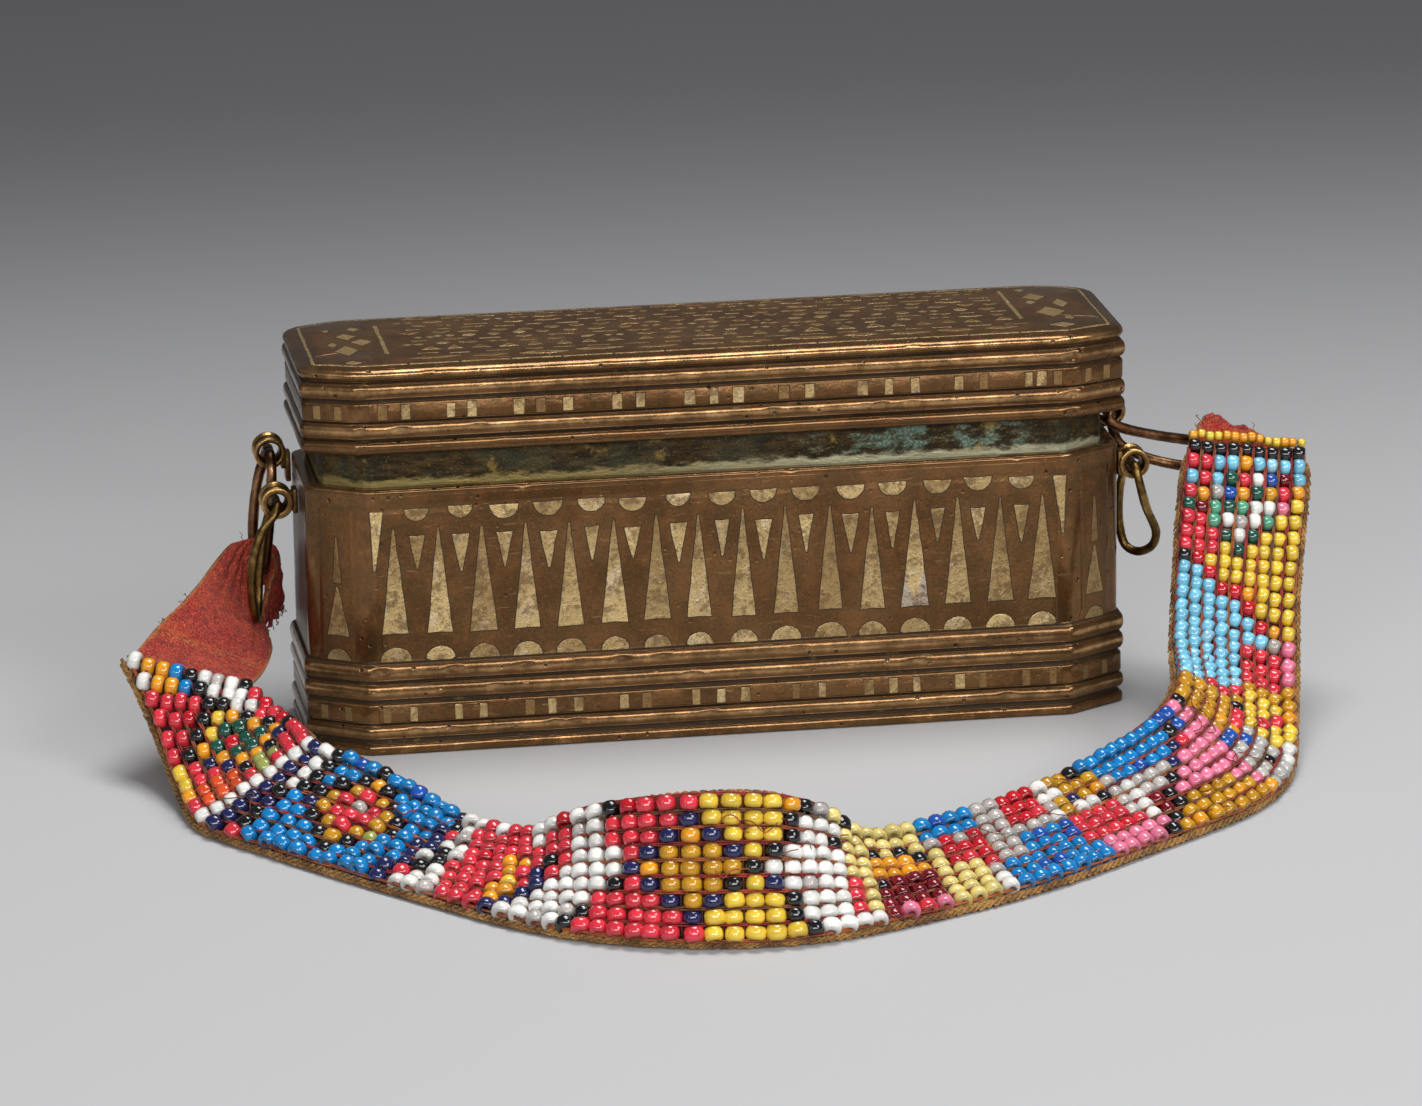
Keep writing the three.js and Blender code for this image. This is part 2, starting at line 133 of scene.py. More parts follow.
def piece_from(name, points, faces, material, smooth=True, outward=False, **attributes):
    """A piece from points in millimetres, with what its points carry, and its faces turned outward."""
    mesh = bpy.data.meshes.new(name)
    mesh.from_pydata((np.asarray(points, float) * MM).tolist(), [], faces)
    carry(mesh, attributes)
    mesh.polygons.foreach_set("use_smooth", [smooth] * len(mesh.polygons))
    mesh.materials.append(material)
    mesh.validate()
    if outward:
        edited(mesh, lambda work: bmesh.ops.recalc_face_normals(work, faces=work.faces))
    return linked(name, mesh)


def sharpen(piece, degrees):
    """Marks edges sharp that turn by more than an angle."""
    def mark(work):
        for edge in work.edges:
            edge.smooth = len(edge.link_faces) == 2 and edge.calc_face_angle(0) < math.radians(degrees)

    edited(piece.data, mark)


def evaluated_mesh(thing):
    """The plain mesh that an object's modifiers make."""
    graph = bpy.context.evaluated_depsgraph_get()
    return bpy.data.meshes.new_from_object(thing.evaluated_get(graph), depsgraph=graph)


def ring_faces(levels, count, closed=False):
    """Faces between rings of points. A closed row of rings returns to the first, another has two caps."""
    faces = []
    for level in range(levels if closed else levels - 1):
        near = level * count
        far = ((level + 1) % levels) * count
        for k in range(count):
            after = (k + 1) % count
            faces.append((near + k, near + after, far + after, far + k))
    if not closed:
        faces += [tuple(reversed(range(count))), tuple(range((levels - 1) * count, levels * count))]
    return faces


def finished(piece, body, slot, *stands_for):
    """Rides a piece on its body and hides the nodes it stands for. Its slot is not used."""
    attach(piece, body)
    if stands_for:
        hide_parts(*stands_for)


# Curves


def spline(points, shares):
    """Points on a centripetal Catmull-Rom curve at shares of its spans, as the part's source has it."""
    points = np.asarray(points, float)
    last = len(points) - 1
    made = []
    for share in shares:
        place = min(max(share, 0.0), 1.0) * last
        k = min(int(place), last - 1)
        weight = place - k
        p1, p2 = points[k], points[k + 1]
        p0 = points[k - 1] if k > 0 else 2 * p1 - p2
        p3 = points[k + 2] if k + 2 <= last else 2 * p2 - p1
        d0, d1, d2 = (max(np.linalg.norm(b - a) ** 0.5, 1e-4) for a, b in ((p0, p1), (p1, p2), (p2, p3)))
        t1 = ((p1 - p0) / d0 - (p2 - p0) / (d0 + d1) + (p2 - p1) / d1) * d1
        t2 = ((p2 - p1) / d1 - (p3 - p1) / (d1 + d2) + (p3 - p2) / d2) * d1
        cubic = 2 * p1 - 2 * p2 + t1 + t2
        square = -3 * p1 + 3 * p2 - 2 * t1 - t2
        made.append(p1 + weight * (t1 + weight * (square + weight * cubic)))
    return np.array(made)


def run_along(points):
    """How far along a line each of its points lies."""
    return np.concatenate([[0], np.cumsum(np.linalg.norm(np.diff(points, axis=0), axis=1))])


def read_line(wanted, places, line):
    """Points of a line between its known places."""
    return np.stack([np.interp(wanted, places, line[:, k]) for k in range(3)], axis=-1)


def even_points(points, spacing):
    """The same curve with points at about one spacing."""
    fine = spline(points, np.linspace(0, 1, 40 * len(points)))
    lengths = run_along(fine)
    count = max(2, int(round(lengths[-1] / spacing)) + 1)
    return read_line(np.linspace(0, lengths[-1], count), lengths, fine)


def unit(vectors):
    return vectors / np.maximum(np.linalg.norm(vectors, axis=-1, keepdims=True), 1e-9)


def tangents(points):
    return unit(np.gradient(points, axis=0))


def turns_round(count):
    """Angles evenly round a full turn."""
    return np.linspace(0, 2 * math.pi, count, endpoint=False)


def noise_at(point, rate):
    return noise.noise(Vector(point) * rate)


def spread(draw, reach, *shape):
    """Random numbers between -reach and reach, in rows."""
    if len(shape) == 1:
        return np.array([draw.uniform(-reach, reach) for _ in range(shape[0])])
    return np.array([spread(draw, reach, *shape[1:]) for _ in range(shape[0])])


def tube(points, radius, sides):
    """Points and faces of a round tube, with one radius or one for each point. Its sides turn as little as
    possible on the way."""
    points = np.asarray(points, float)
    along = tangents(points)
    start = np.cross(along[0], [0.0, 0.0, 1.0])
    if np.linalg.norm(start) < 1e-3:
        start = np.cross(along[0], [0.0, 1.0, 0.0])
    first = [unit(start)]
    for direction in along[1:]:
        first.append(unit(first[-1] - direction * np.dot(first[-1], direction)))
    second = np.cross(along, first)
    turns = turns_round(sides)
    rings = [
        point + r * (np.cos(turns)[:, None] * a + np.sin(turns)[:, None] * b)
        for point, r, a, b in zip(points, np.broadcast_to(radius, (len(points),)), first, second)
    ]
    return np.vstack(rings), ring_faces(len(points), sides)


def joined(parts):
    """Points and faces of several shapes in one."""
    points, faces, start = [], [], 0
    for some_points, some_faces in parts:
        points.append(np.asarray(some_points, float))
        faces.extend(tuple(index + start for index in face) for face in some_faces)
        start += len(some_points)
    return np.vstack(points), faces


# Nodes and shaders


def feed(tree, value, slot):
    """Puts a number, a socket or a Value into an input."""
    source = getattr(value, "socket", value)
    if isinstance(source, bpy.types.NodeSocket):
        tree.links.new(source, slot)
    else:
        slot.default_value = source


def new_node(tree, kind, settings=None, **inputs):
    """A node with its settings and inputs. An input goes by its name, or by i and its number."""
    made = tree.nodes.new(kind)
    for key, value in (settings or {}).items():
        setattr(made, key, value)
    for key, value in inputs.items():
        feed(tree, value, made.inputs[int(key[1:]) if key[1:].isdigit() else key.replace("_", " ")])
    return made


def operator(operation, swapped=False):
    def method(self, other):
        return self.finish.math(operation, *((other, self) if swapped else (self, other)))

    return method


class Value:
    """A socket that can be used in sums like a number."""

    def __init__(self, finish, socket):
        self.finish = finish
        self.socket = socket

    __add__, __radd__ = operator("ADD"), operator("ADD", swapped=True)
    __sub__, __rsub__ = operator("SUBTRACT"), operator("SUBTRACT", swapped=True)
    __mul__, __rmul__ = operator("MULTIPLY"), operator("MULTIPLY", swapped=True)
    __truediv__ = operator("DIVIDE")


class Finish:
    """A material whose colour, roughness, metal and bump are written as expressions."""

    def __init__(self, name, **constants):
        self.material = bpy.data.materials.new(name)
        self.material.use_nodes = True
        self.tree = self.material.node_tree
        self.surface(**constants)

    def surface(self, **inputs):
        shader = self.tree.nodes["Principled BSDF"]
        for key, value in inputs.items():
            feed(self.tree, value, shader.inputs[key.replace("_", " ")])

    def node(self, kind, output, settings=None, **inputs):
        return Value(self, new_node(self.tree, kind, settings, **inputs).outputs[output])

    def math(self, operation, first, second=0.0):
        return self.node("ShaderNodeMath", 0, {"operation": operation}, i0=first, i1=second)

    def here(self):
        return self.node("ShaderNodeTexCoord", "Object")

    def place(self, scale=(1, 1, 1), turn=(0, 0, 0)):
        return self.node("ShaderNodeMapping", 0, Vector=self.here(), Scale=scale, Rotation=turn)

    def axis(self, name):
        return self.node("ShaderNodeSeparateXYZ", name, Vector=self.here())

    def attribute(self, name, output="Fac"):
        return self.node("ShaderNodeAttribute", output, {"attribute_name": name})

    def noise(self, size, detail=3.0, roughness=0.55, where=None):
        """Noise between 0 and 1 with features of a size in millimetres."""
        return self.node(
            "ShaderNodeTexNoise", "Fac", Vector=where or self.place(), Scale=1 / (size * MM), Detail=detail,
            Roughness=roughness,
        )

    def noises(self, *kinds):
        return (self.noise(*kind) for kind in kinds)

    def cells(self, size):
        """How far away the middle of the nearest cell is, in sizes of a cell."""
        return self.node("ShaderNodeTexVoronoi", "Distance", Vector=self.place(), Scale=1 / (size * MM))

    def steps(self, value, low, high):
        """0 at low, 1 at high, smooth between."""
        return self.node(
            "ShaderNodeMapRange", "Result", {"interpolation_type": "SMOOTHSTEP"}, Value=value, From_Min=low,
            From_Max=high,
        )

    def mix(self, share, first, second, blend="MIX"):
        """A colour between two, by a share."""
        first, second = (c if isinstance(c, Value) else (*c, 1.0) for c in (first, second))
        settings = {"data_type": "RGBA", "blend_type": blend, "clamp_factor": True}
        return self.node("ShaderNodeMix", 2, settings, i0=share, i6=first, i7=second)

    def over(self, colour, *coats):
        """A colour under coats of others, each with its share."""
        for share, coat in coats:
            colour = self.mix(share, colour, coat)
        return colour

    def bumps(self, *layers):
        """Bump layers, each a height and how far it stands out in millimetres. Returns the material."""
        normal = {}
        for height, reach in layers:
            bump = self.node("ShaderNodeBump", 0, Height=height, Distance=reach * MM, Strength=1.0, **normal)
            normal = {"Normal": bump}
        self.surface(**normal)
        return self.material


# Metal finishes


def cast_brass():
    """Brown patina over cast brass, worn to gold on what stands out, with a painted highlight of gold on the
    upper half of each roll. Dark in the grooves and hollows with dirt and painted shade, and painted shade on
    the lower half of each roll and on the box's end faces.
    """
    finish = Finish("cast_brass_patina")
    steps = finish.steps
    wear, groove = finish.attribute("wear"), finish.attribute("groove")
    broad, middle, fine = finish.noises((14.0, 4.0), (3.2, 5.0, 0.65), (0.5, 4.0, 0.7))
    patina = finish.over(
        finish.mix(steps(broad, 0.35, 0.68), (0.118, 0.052, 0.016), (0.195, 0.096, 0.034)),
        (steps(middle, 0.42, 0.75) * 0.7, (0.225, 0.098, 0.029)),
        (steps(middle, 0.55, 0.40) * 0.35, (0.115, 0.070, 0.024)),
        (steps(fine, 0.52, 0.70) * 0.6, (0.060, 0.028, 0.010)),
        (steps(fine, 0.44, 0.34) * 0.35, (0.34, 0.175, 0.062)),
    )
    worn = finish.mix(middle, (0.44, 0.225, 0.085), (0.80, 0.52, 0.25))
    # Gold where the wear value is high: real wear on what stands out, and a painted highlight on the upper
    # half of each roll
    rubbed = steps(wear + (middle - 0.5) * 0.7 + (fine - 0.5) * 0.4, 0.72, 1.25)
    # Dark where the groove value is high: dirt and painted shade in grooves and hollows, and painted shade on
    # the lower half of each roll
    dirt_and_painted_shade = steps(groove + (middle - 0.5) * 0.6, 0.35, 0.95)
    dust = dirt_and_painted_shade * steps(finish.noise(2.4, 4.0, 0.7), 0.58, 0.70)
    standing = steps(wear, 0.12, 0.4)
    pits = (1 - steps(finish.cells(2.9), 0.05, 0.15)) * (0.25 + standing * 0.75)
    # The box's end faces are darkened: painted shade
    ends = steps(finish.math("ABSOLUTE", finish.axis("X")), 0.0640, 0.0670)
    scratches = steps(finish.noise(0.5, 2.0, 0.5, finish.place((0.12, 1, 1), (0, 0.35, 0.2))), 0.68, 0.73)
    colour = finish.over(
        patina,
        (rubbed * 0.9, worn),
        (dirt_and_painted_shade * 0.85, (0.030, 0.020, 0.010)),
        (dust * 0.7, (0.21, 0.155, 0.045)),
        (pits * 0.85, (0.018, 0.012, 0.008)),
        (ends * (1 - rubbed) * 0.34, (0.040, 0.022, 0.008)),
        (scratches * 0.25, (0.42, 0.27, 0.13)),
    )
    cloudy = (middle - 0.5) * (0.25 - standing * 0.13)
    finish.surface(
        Base_Color=colour,
        Roughness=0.40 - standing * 0.22 + cloudy + (fine - 0.5) * 0.15 + dirt_and_painted_shade * 0.3,
        Metallic=0.68 + rubbed * 0.32 - dirt_and_painted_shade * 0.3,
    )
    calm = 1 - standing * 0.82
    return finish.bumps(
        (broad * calm, 0.3), (middle * calm, 0.20), (fine * calm, 0.09), (pits, -0.16), (scratches, -0.012),
    )


def inlay_metal():
    """Pale hammered inlay, each plate with a tone of its own, from yellowish to grey, and patchy."""
    finish = Finish("pale_inlay")
    steps = finish.steps
    tone = finish.attribute("tone")
    broad, middle, fine = finish.noises((3.4, 4.0, 0.65), (1.0, 4.0, 0.7), (0.3, 3.0, 0.7))
    silver = steps(finish.noise(2.6, 3.0, 0.6, finish.place((1, 1, 0.6))), 0.52, 0.66)
    stain = steps(broad + (middle - 0.5) * 0.9, 0.44, 0.66)
    colour = finish.over(
        finish.mix(tone, (0.31, 0.190, 0.072), (0.80, 0.59, 0.275)),
        (silver * tone * 0.8, (0.75, 0.61, 0.42)),
        (steps(tone, 0.90, 0.96) * 0.8, (0.50, 0.43, 0.40)),
        (stain * 0.72, (0.16, 0.090, 0.034)),
        (steps(fine, 0.54, 0.66) * 0.65, (0.11, 0.065, 0.026)),
        (steps(tone, 0.0, -0.5) * 0.85, (0.20, 0.092, 0.030)),
    )
    finish.surface(
        Base_Color=colour, Roughness=0.42 + (middle - 0.5) * 0.35 + stain * 0.15, Metallic=0.8 - stain * 0.2,
    )
    return finish.bumps((broad, 0.2), (middle, 0.16), (fine, 0.08))


def cut_line():
    """The dark line round each inlay, where dirt sits in the cut."""
    finish = Finish("dark_cut_line", Metallic=0.3)
    grain = finish.noise(0.6)
    finish.surface(
        Base_Color=finish.mix(grain, (0.016, 0.011, 0.007), (0.07, 0.042, 0.022)),
        Roughness=0.7 + grain * 0.2,
    )
    return finish.bumps((grain, 0.05))


def verdigris_brass():
    """Sheet brass of the neck: dark olive, partly its own colour and partly painted shade under the lid,
    green and blue verdigris to the right, pale salts below.
    """
    finish = Finish("verdigris_brass")
    steps, mix, across = finish.steps, finish.mix, finish.axis("X")
    broad = finish.noise(8.0, 4.0, 0.65, finish.place((0.7, 1, 1.2)))
    middle = finish.noise(2.2, 5.0, 0.7, finish.place((0.6, 1, 1.6)))
    fine = finish.noise(0.45, 4.0, 0.7)
    # Dark brass: its own dark olive, darkened further as painted shade under the lid
    brass = mix(steps(middle, 0.38, 0.66), (0.018, 0.012, 0.004), (0.075, 0.044, 0.012))
    green = mix(steps(fine, 0.40, 0.62), (0.026, 0.031, 0.012), (0.085, 0.094, 0.036))
    blue = mix(steps(fine, 0.42, 0.60), (0.058, 0.108, 0.082), (0.21, 0.285, 0.215))
    salts = mix(steps(across, -0.03, 0.03), (0.36, 0.275, 0.095), (0.58, 0.56, 0.36))
    right = steps(across, 0.006, 0.028) * steps(across, 0.058, 0.048)
    ledge = steps(finish.axis("Z") - (middle - 0.5) * 0.004, (BODY_TOP + 1.6) * MM, (BODY_TOP + 0.3) * MM)
    colour = finish.over(
        brass,
        (steps(fine, 0.58, 0.72) * 0.7, (0.36, 0.26, 0.085)),
        (steps(broad, 0.50, 0.60) * (0.35 + right * 0.65), green),
        (steps(middle * 0.5 + broad * 0.5, 0.49, 0.56) * right, blue),
        (steps(finish.noise(7.0, 4.0, 0.7), 0.60, 0.67) * 0.6, (0.32, 0.22, 0.045)),
        (ledge * 0.8, salts),
    )
    crust = steps(broad, 0.46, 0.58) * (0.4 + right * 0.6)
    finish.surface(
        Base_Color=colour, Roughness=0.42 + crust * 0.3 + (fine - 0.5) * 0.3, Metallic=0.75 - crust * 0.6,
    )
    return finish.bumps((middle, 0.3), (fine, 0.12))


def plain_brass(name, dark, light, gold):
    """Brass of the eyelets and of wire: tarnished, with rubbed high spots."""
    finish = Finish(name, Metallic=1.0)
    middle, fine = finish.noises((1.8, 4.0, 0.6), (0.35, 3.0, 0.6))
    rubbed = finish.steps(finish.attribute("wear") + (middle - 0.5) * 0.6, 0.5, 1.0)
    colour = finish.over(
        finish.mix(finish.steps(middle, 0.35, 0.7), dark, light),
        (rubbed, gold), (finish.steps(fine, 0.58, 0.75) * 0.5, tuple(c * 0.3 for c in dark)),
    )
    finish.surface(Base_Color=colour, Roughness=0.38 + (fine - 0.5) * 0.3 - rubbed * 0.08)
    return finish.bumps((middle, 0.10), (fine, 0.05))


# Bead and cloth finishes


def bead_glass(name, **constants):
    """Glass of the beads: a colour for each, a little uneven, darkened toward the hole at both ends as
    painted shade where beads meet, under a shiny skin.
    """
    finish = Finish(name, Coat_Weight=0.6, Coat_Roughness=0.05, **constants)
    cloud = finish.noise(1.4, 3.0)
    colour = finish.over(
        finish.attribute("tint", "Color"),
        (finish.steps(cloud, 0.45, 0.8) * 0.22, (0.02, 0.012, 0.008)),
        # painted shade at the ends of each bead
        (finish.attribute("near_hole") * 0.55, (0.012, 0.006, 0.004)),
    )
    finish.surface(Base_Color=colour, Roughness=0.13 + (cloud - 0.5) * 0.14)
    return finish.bumps((finish.noise(0.9, 2.0), 0.022))


def thread(name, dark, light, tinted=False):
    """Twisted thread: fine ply, matt, fuzzy."""
    finish = Finish(name, Sheen_Weight=0.08, Sheen_Roughness=0.5)
    fine, broad = finish.noises((0.22, 3.0, 0.7), (4.0, 3.0))
    colour = finish.mix(finish.steps(fine + (broad - 0.5) * 0.8, 0.3, 0.75), dark, light)
    if tinted:
        colour = finish.mix(1.0, colour, finish.attribute("tint", "Color"), "MULTIPLY")
    finish.surface(Base_Color=colour, Roughness=0.85 + (fine - 0.5) * 0.2)
    return finish.bumps((fine, 0.10))


def red_cloth():
    """Coarse red weave, rubbed and stained, with orange and dark yarns, the orange specks also painted
    glints, and a golden border.
    """
    finish = Finish("red_cloth", Sheen_Weight=0.1, Sheen_Roughness=0.5)
    steps = finish.steps
    ply, broad, middle = finish.noises((0.34, 3.0, 0.75), (4.5, 4.0, 0.65), (1.2, 4.0, 0.75))
    warp, weft = (
        finish.math("SINE", finish.attribute(way) * 2 * math.pi / pitch + (middle - 0.5) * 5.0)
        for way, pitch in (("along", 0.60), ("across", 0.62))
    )
    weave = warp * weft * 0.5 + 0.5
    border = steps(finish.attribute("border") + (middle - 0.5) * 0.9, 0.45, 0.95)
    colour = finish.over(
        finish.mix(steps(broad, 0.35, 0.65), (0.54, 0.010, 0.014), (0.74, 0.072, 0.022)),
        (steps(middle, 0.50, 0.66) * 0.75, (0.150, 0.008, 0.010)),
        # Bright orange specks: orange yarns and painted glints
        (steps(ply, 0.52, 0.61) * 0.8, (0.95, 0.210, 0.075)),
        (steps(ply, 0.43, 0.34) * 0.8, (0.080, 0.006, 0.008)),
        ((1 - weave) * 0.36, (0.09, 0.006, 0.006)),
        (border * 0.6, (0.62, 0.27, 0.060)),
    )
    finish.surface(Base_Color=colour, Roughness=0.9)
    return finish.bumps((weave, 0.30), (ply, 0.36), (middle, 0.75))


CAST_BRASS = cast_brass()
INLAY = inlay_metal()
CUT_LINE = cut_line()
VERDIGRIS = verdigris_brass()
EYELET_BRASS = plain_brass("eyelet_brass", (0.135, 0.070, 0.024), (0.27, 0.155, 0.055), (0.56, 0.345, 0.13))
LOOP_BRASS = plain_brass("loop_brass", (0.120, 0.068, 0.020), (0.29, 0.180, 0.055), (0.58, 0.390, 0.135))
LOOP_COPPER = plain_brass("loop_copper", (0.085, 0.040, 0.018), (0.205, 0.095, 0.044), (0.44, 0.235, 0.12))
BEAD_GLASS = bead_glass("bead_glass")
CLEAR_GLASS = bead_glass("clear_bead_glass", Transmission_Weight=0.42, IOR=1.45)
WARP_THREAD = thread("warp_thread", (0.25, 0.22, 0.20), (1.0, 1.0, 1.0), tinted=True)
EDGE_THREAD = thread("edge_thread", (0.11, 0.045, 0.012), (0.50, 0.255, 0.065))
RED_CLOTH = red_cloth()


# Body and lid

FOOT_EASE, PANEL_EASE = 0.8, 1.5
LID_EASE, SLAB_EASE = 0.9, 3.2
CORNER_STEPS = 5
SIDE_STEP = 1.0
ROLL_STEPS = 12
# Gold on the upright corners: wear, and a painted highlight
CORNER_WEAR_AND_HIGHLIGHT = 0.72
CORNER_WEAR_REACH = 1.6
SHARP_ANGLE = 50


def plan_corners(plan, inset):
    a = plan["half_length"] - inset
    b = plan["half_depth"] - inset
    leg_x, leg_y = plan["chamfer"]
    shrink = inset * (leg_x + leg_y - math.hypot(leg_x, leg_y))
    cx = leg_x - shrink / leg_y
    cy = leg_y - shrink / leg_x
    return np.array([
        (a, -b + cy), (a, b - cy), (a - cx, b), (-a + cx, b),
        (-a, b - cy), (-a, -b + cy), (-a + cx, -b), (a - cx, -b),
    ])


def toward(start, end, reach):
    """The point that lies a reach from one point toward another."""
    return start + (end - start) / np.linalg.norm(end - start) * reach


def side_lengths(corners):
    return np.linalg.norm(np.roll(corners, -1, axis=0) - corners, axis=1)


def plan_ring(plan, inset, ease, steps):
    """The outline at an inset, as points, and how near each point is to a corner."""
    corners = plan_corners(plan, inset)
    ease = min(ease, 0.42 * side_lengths(corners).min())
    points, nearness = [], []
    for k in range(8):
        before, corner, beyond = corners[k - 1], corners[k], corners[(k + 1) % 8]
        enter, leave = toward(corner, before, ease), toward(corner, beyond, ease)
        next_enter = toward(beyond, corner, ease)
        for s in np.linspace(0, 1, CORNER_STEPS):
            points.append((1 - s) ** 2 * enter + 2 * s * (1 - s) * corner + s * s * leave)
            nearness.append(1.0)
        for s in np.linspace(0, 1, steps[k] + 1)[1:-1]:
            point = leave + (next_enter - leave) * s
            points.append(point)
            reach = min(np.linalg.norm(point - leave), np.linalg.norm(point - next_enter))
            nearness.append(max(0.0, 1 - reach / CORNER_WEAR_REACH))
    return np.array(points), np.array(nearness)


def mouldings(stack, bottom):
    """Levels of a stack of mouldings: inset, height, wear and how deep in a groove. On a roll the wear is
    raised on the upper half, a painted highlight, and the groove value on the lower half, a painted shade.
    Rolls swell into the grooves beside them."""
    levels = []
    z = bottom
    beside = [("end", 0), *stack, ("end", 0)]
    for k, (kind, height) in enumerate(stack):
        top = z + height
        below, above = (depth if other == "groove" else 0 for other, depth in (beside[k], beside[k + 2]))
        if kind == "roll":
            low, high = z - ROLL_SWELL * below, top + ROLL_SWELL * above
            for turn in np.linspace(0, math.pi, ROLL_STEPS + 1):
                out = math.sin(turn) ** 0.75
                upper = 0.5 - 0.5 * math.cos(turn)
                # Upper half of a roll: more wear, a painted highlight. Lower half: a higher groove value, a
                # painted shade.
                wear = (0.68 + 0.6 * upper) * out ** 3 if k else 0.5
                groove = min(1.0, 1 - out + 0.42 * max(0.0, 0.62 - upper))
                levels.append((PROUD * (1 - out), low + (high - low) * upper, wear, groove))
        elif kind == "band":
            levels += [
                (PROUD - 0.1, z, 0.1, 1), (BAND_INSET + 0.08, z + 0.14, 0.55, 0.3),
                (BAND_INSET, z + 0.45, 0.3, 0), (BAND_INSET, z + height / 2, 0.25, 0),
                (BAND_INSET, top - BAND_BEVEL - 0.1, 0.35, 0),
                (BAND_INSET + 0.1, top - BAND_BEVEL / 2, 0.6, 0.2),
                (PROUD - 0.1, top, 0.1, 1),
            ]
        elif kind == "plinth":
            levels += [
                (0.75, z, 0.3, 0.3), (0.35, z + 0.12, 0.5, 0), (0.17, z + 0.45, 0.8, 0),
                (0.15, z + height / 2, 0.7, 0), (0.2, top - 0.4, 0.8, 0), (0.45, top - 0.12, 0.5, 0.3),
                (PROUD, top + 0.1, 0, 1),
            ]
        else:
            levels.append((PROUD + 0.1, z + height / 2, 0, 1))
        z = top
    return levels


def uneven(point, strength):
    """How far a cast surface lies off its true place, in millimetres."""
    swell = noise_at(point, 0.035)
    ripple = noise.noise(Vector(point) * 0.16 + Vector((9, 3, 5)))
    return strength * (0.16 * swell + 0.07 * ripple)


def cast_shell(plan, levels, plan_at, ease_at, strength_at, nicks):
    """Points, wear and groove of rings of the outline, made uneven as a casting is."""
    steps = [max(2, int(round(length / SIDE_STEP))) for length in side_lengths(plan_corners(plan, 0))]
    rings, wears, grooves = [], [], []
    for number, (inset, z, wear, groove) in enumerate(levels):
        ring, near = plan_ring(plan_at(number), inset, ease_at(number), steps)
        outward = unit(np.stack([np.gradient(ring[:, 1]), -np.gradient(ring[:, 0])], axis=1))
        strength = strength_at(number)
        offsets = np.array([uneven((x, y, z), strength) for x, y in ring]) if strength else 0.0
        for (nick_x, nick_y, nick_z), reach, depth in nicks:
            away = np.hypot(np.hypot(ring[:, 0] - nick_x, ring[:, 1] - nick_y), z - nick_z) / reach
            offsets = offsets - depth * np.clip(1 - away ** 2, 0, 1) ** 2
        ring = ring + outward * np.reshape(offsets, (-1, 1))
        rings.append(np.column_stack([ring, np.full(len(ring), z)]))
        # Upright corners: worn gold that is also a painted highlight
        wears.append(np.maximum(wear, near * CORNER_WEAR_AND_HIGHLIGHT * (1 - groove)))
        grooves.append(np.full(len(ring), float(groove)))
    return np.vstack(rings), np.concatenate(wears), np.concatenate(grooves), len(rings[0])


def cast_piece(node, body, levels, points, wear, groove, count):
    piece = piece_from(
        f"cast_{node}", points, ring_faces(levels, count), CAST_BRASS, outward=True, wear=wear, groove=groove,
    )
    sharpen(piece, SHARP_ANGLE)
    finished(piece, body, "patinated_brass", node)
    return piece


def nicks_along(plan, heights, count, seed):
    """Small casting flaws along the rolls of the two long sides: a place, a reach and a depth each."""
    draw = random.Random(seed)
    found = []
    for _ in range(count):
        side = draw.choice((-1, 1))
        along = draw.uniform(-1, 1) * (plan["half_length"] - 10)
        place = (along, side * plan["half_depth"], draw.choice(heights))
        found.append((place, draw.uniform(0.5, 1.3), draw.uniform(0.15, 0.45)))
    return found


def make_body():
    levels = mouldings(FOOT_STACK, 0)
    first_panel = len(levels)
    for z in np.arange(FOOT_TOP + 0.4, BODY_TOP - 0.7, 1.5):
        wear = 0.35 if z > BODY_TOP - 3 else 0.2
        levels.append((PROUD, z, wear, max(0.0, 0.7 - (z - FOOT_TOP) / 1.5)))
    levels += [
        (PROUD, BODY_TOP - 0.5, 0.6, 0), (PROUD + 0.12, BODY_TOP - 0.14, 0.9, 0),
        (PROUD + 0.45, BODY_TOP, 0.9, 0), (CAVITY_INSET - 0.2, BODY_TOP, 0.7, 0),
    ]
    outer = len(levels)
    levels += [(CAVITY_INSET, BODY_TOP - 0.2, 0.3, 0.4), (CAVITY_INSET, BODY_FLOOR, 0, 0.8)]
    nicks = nicks_along(FOOT_PLAN, (4.1, 10.9, 14.6), 26, 4)
    nicks += [((x, -FOOT_PLAN["half_depth"] + PROUD, BODY_TOP), 0.7, 0.5) for x in (-33.5, 12.0, 51.0)]
    shell = cast_shell(
        FOOT_PLAN, levels, lambda level: FOOT_PLAN,
        lambda level: PANEL_EASE if level >= first_panel else FOOT_EASE,
        lambda level: 0.0 if level >= outer or level == 0 else 0.5 if level >= first_panel else 1.0, nicks,
    )
    return cast_piece("body", "box", len(levels), *shell)


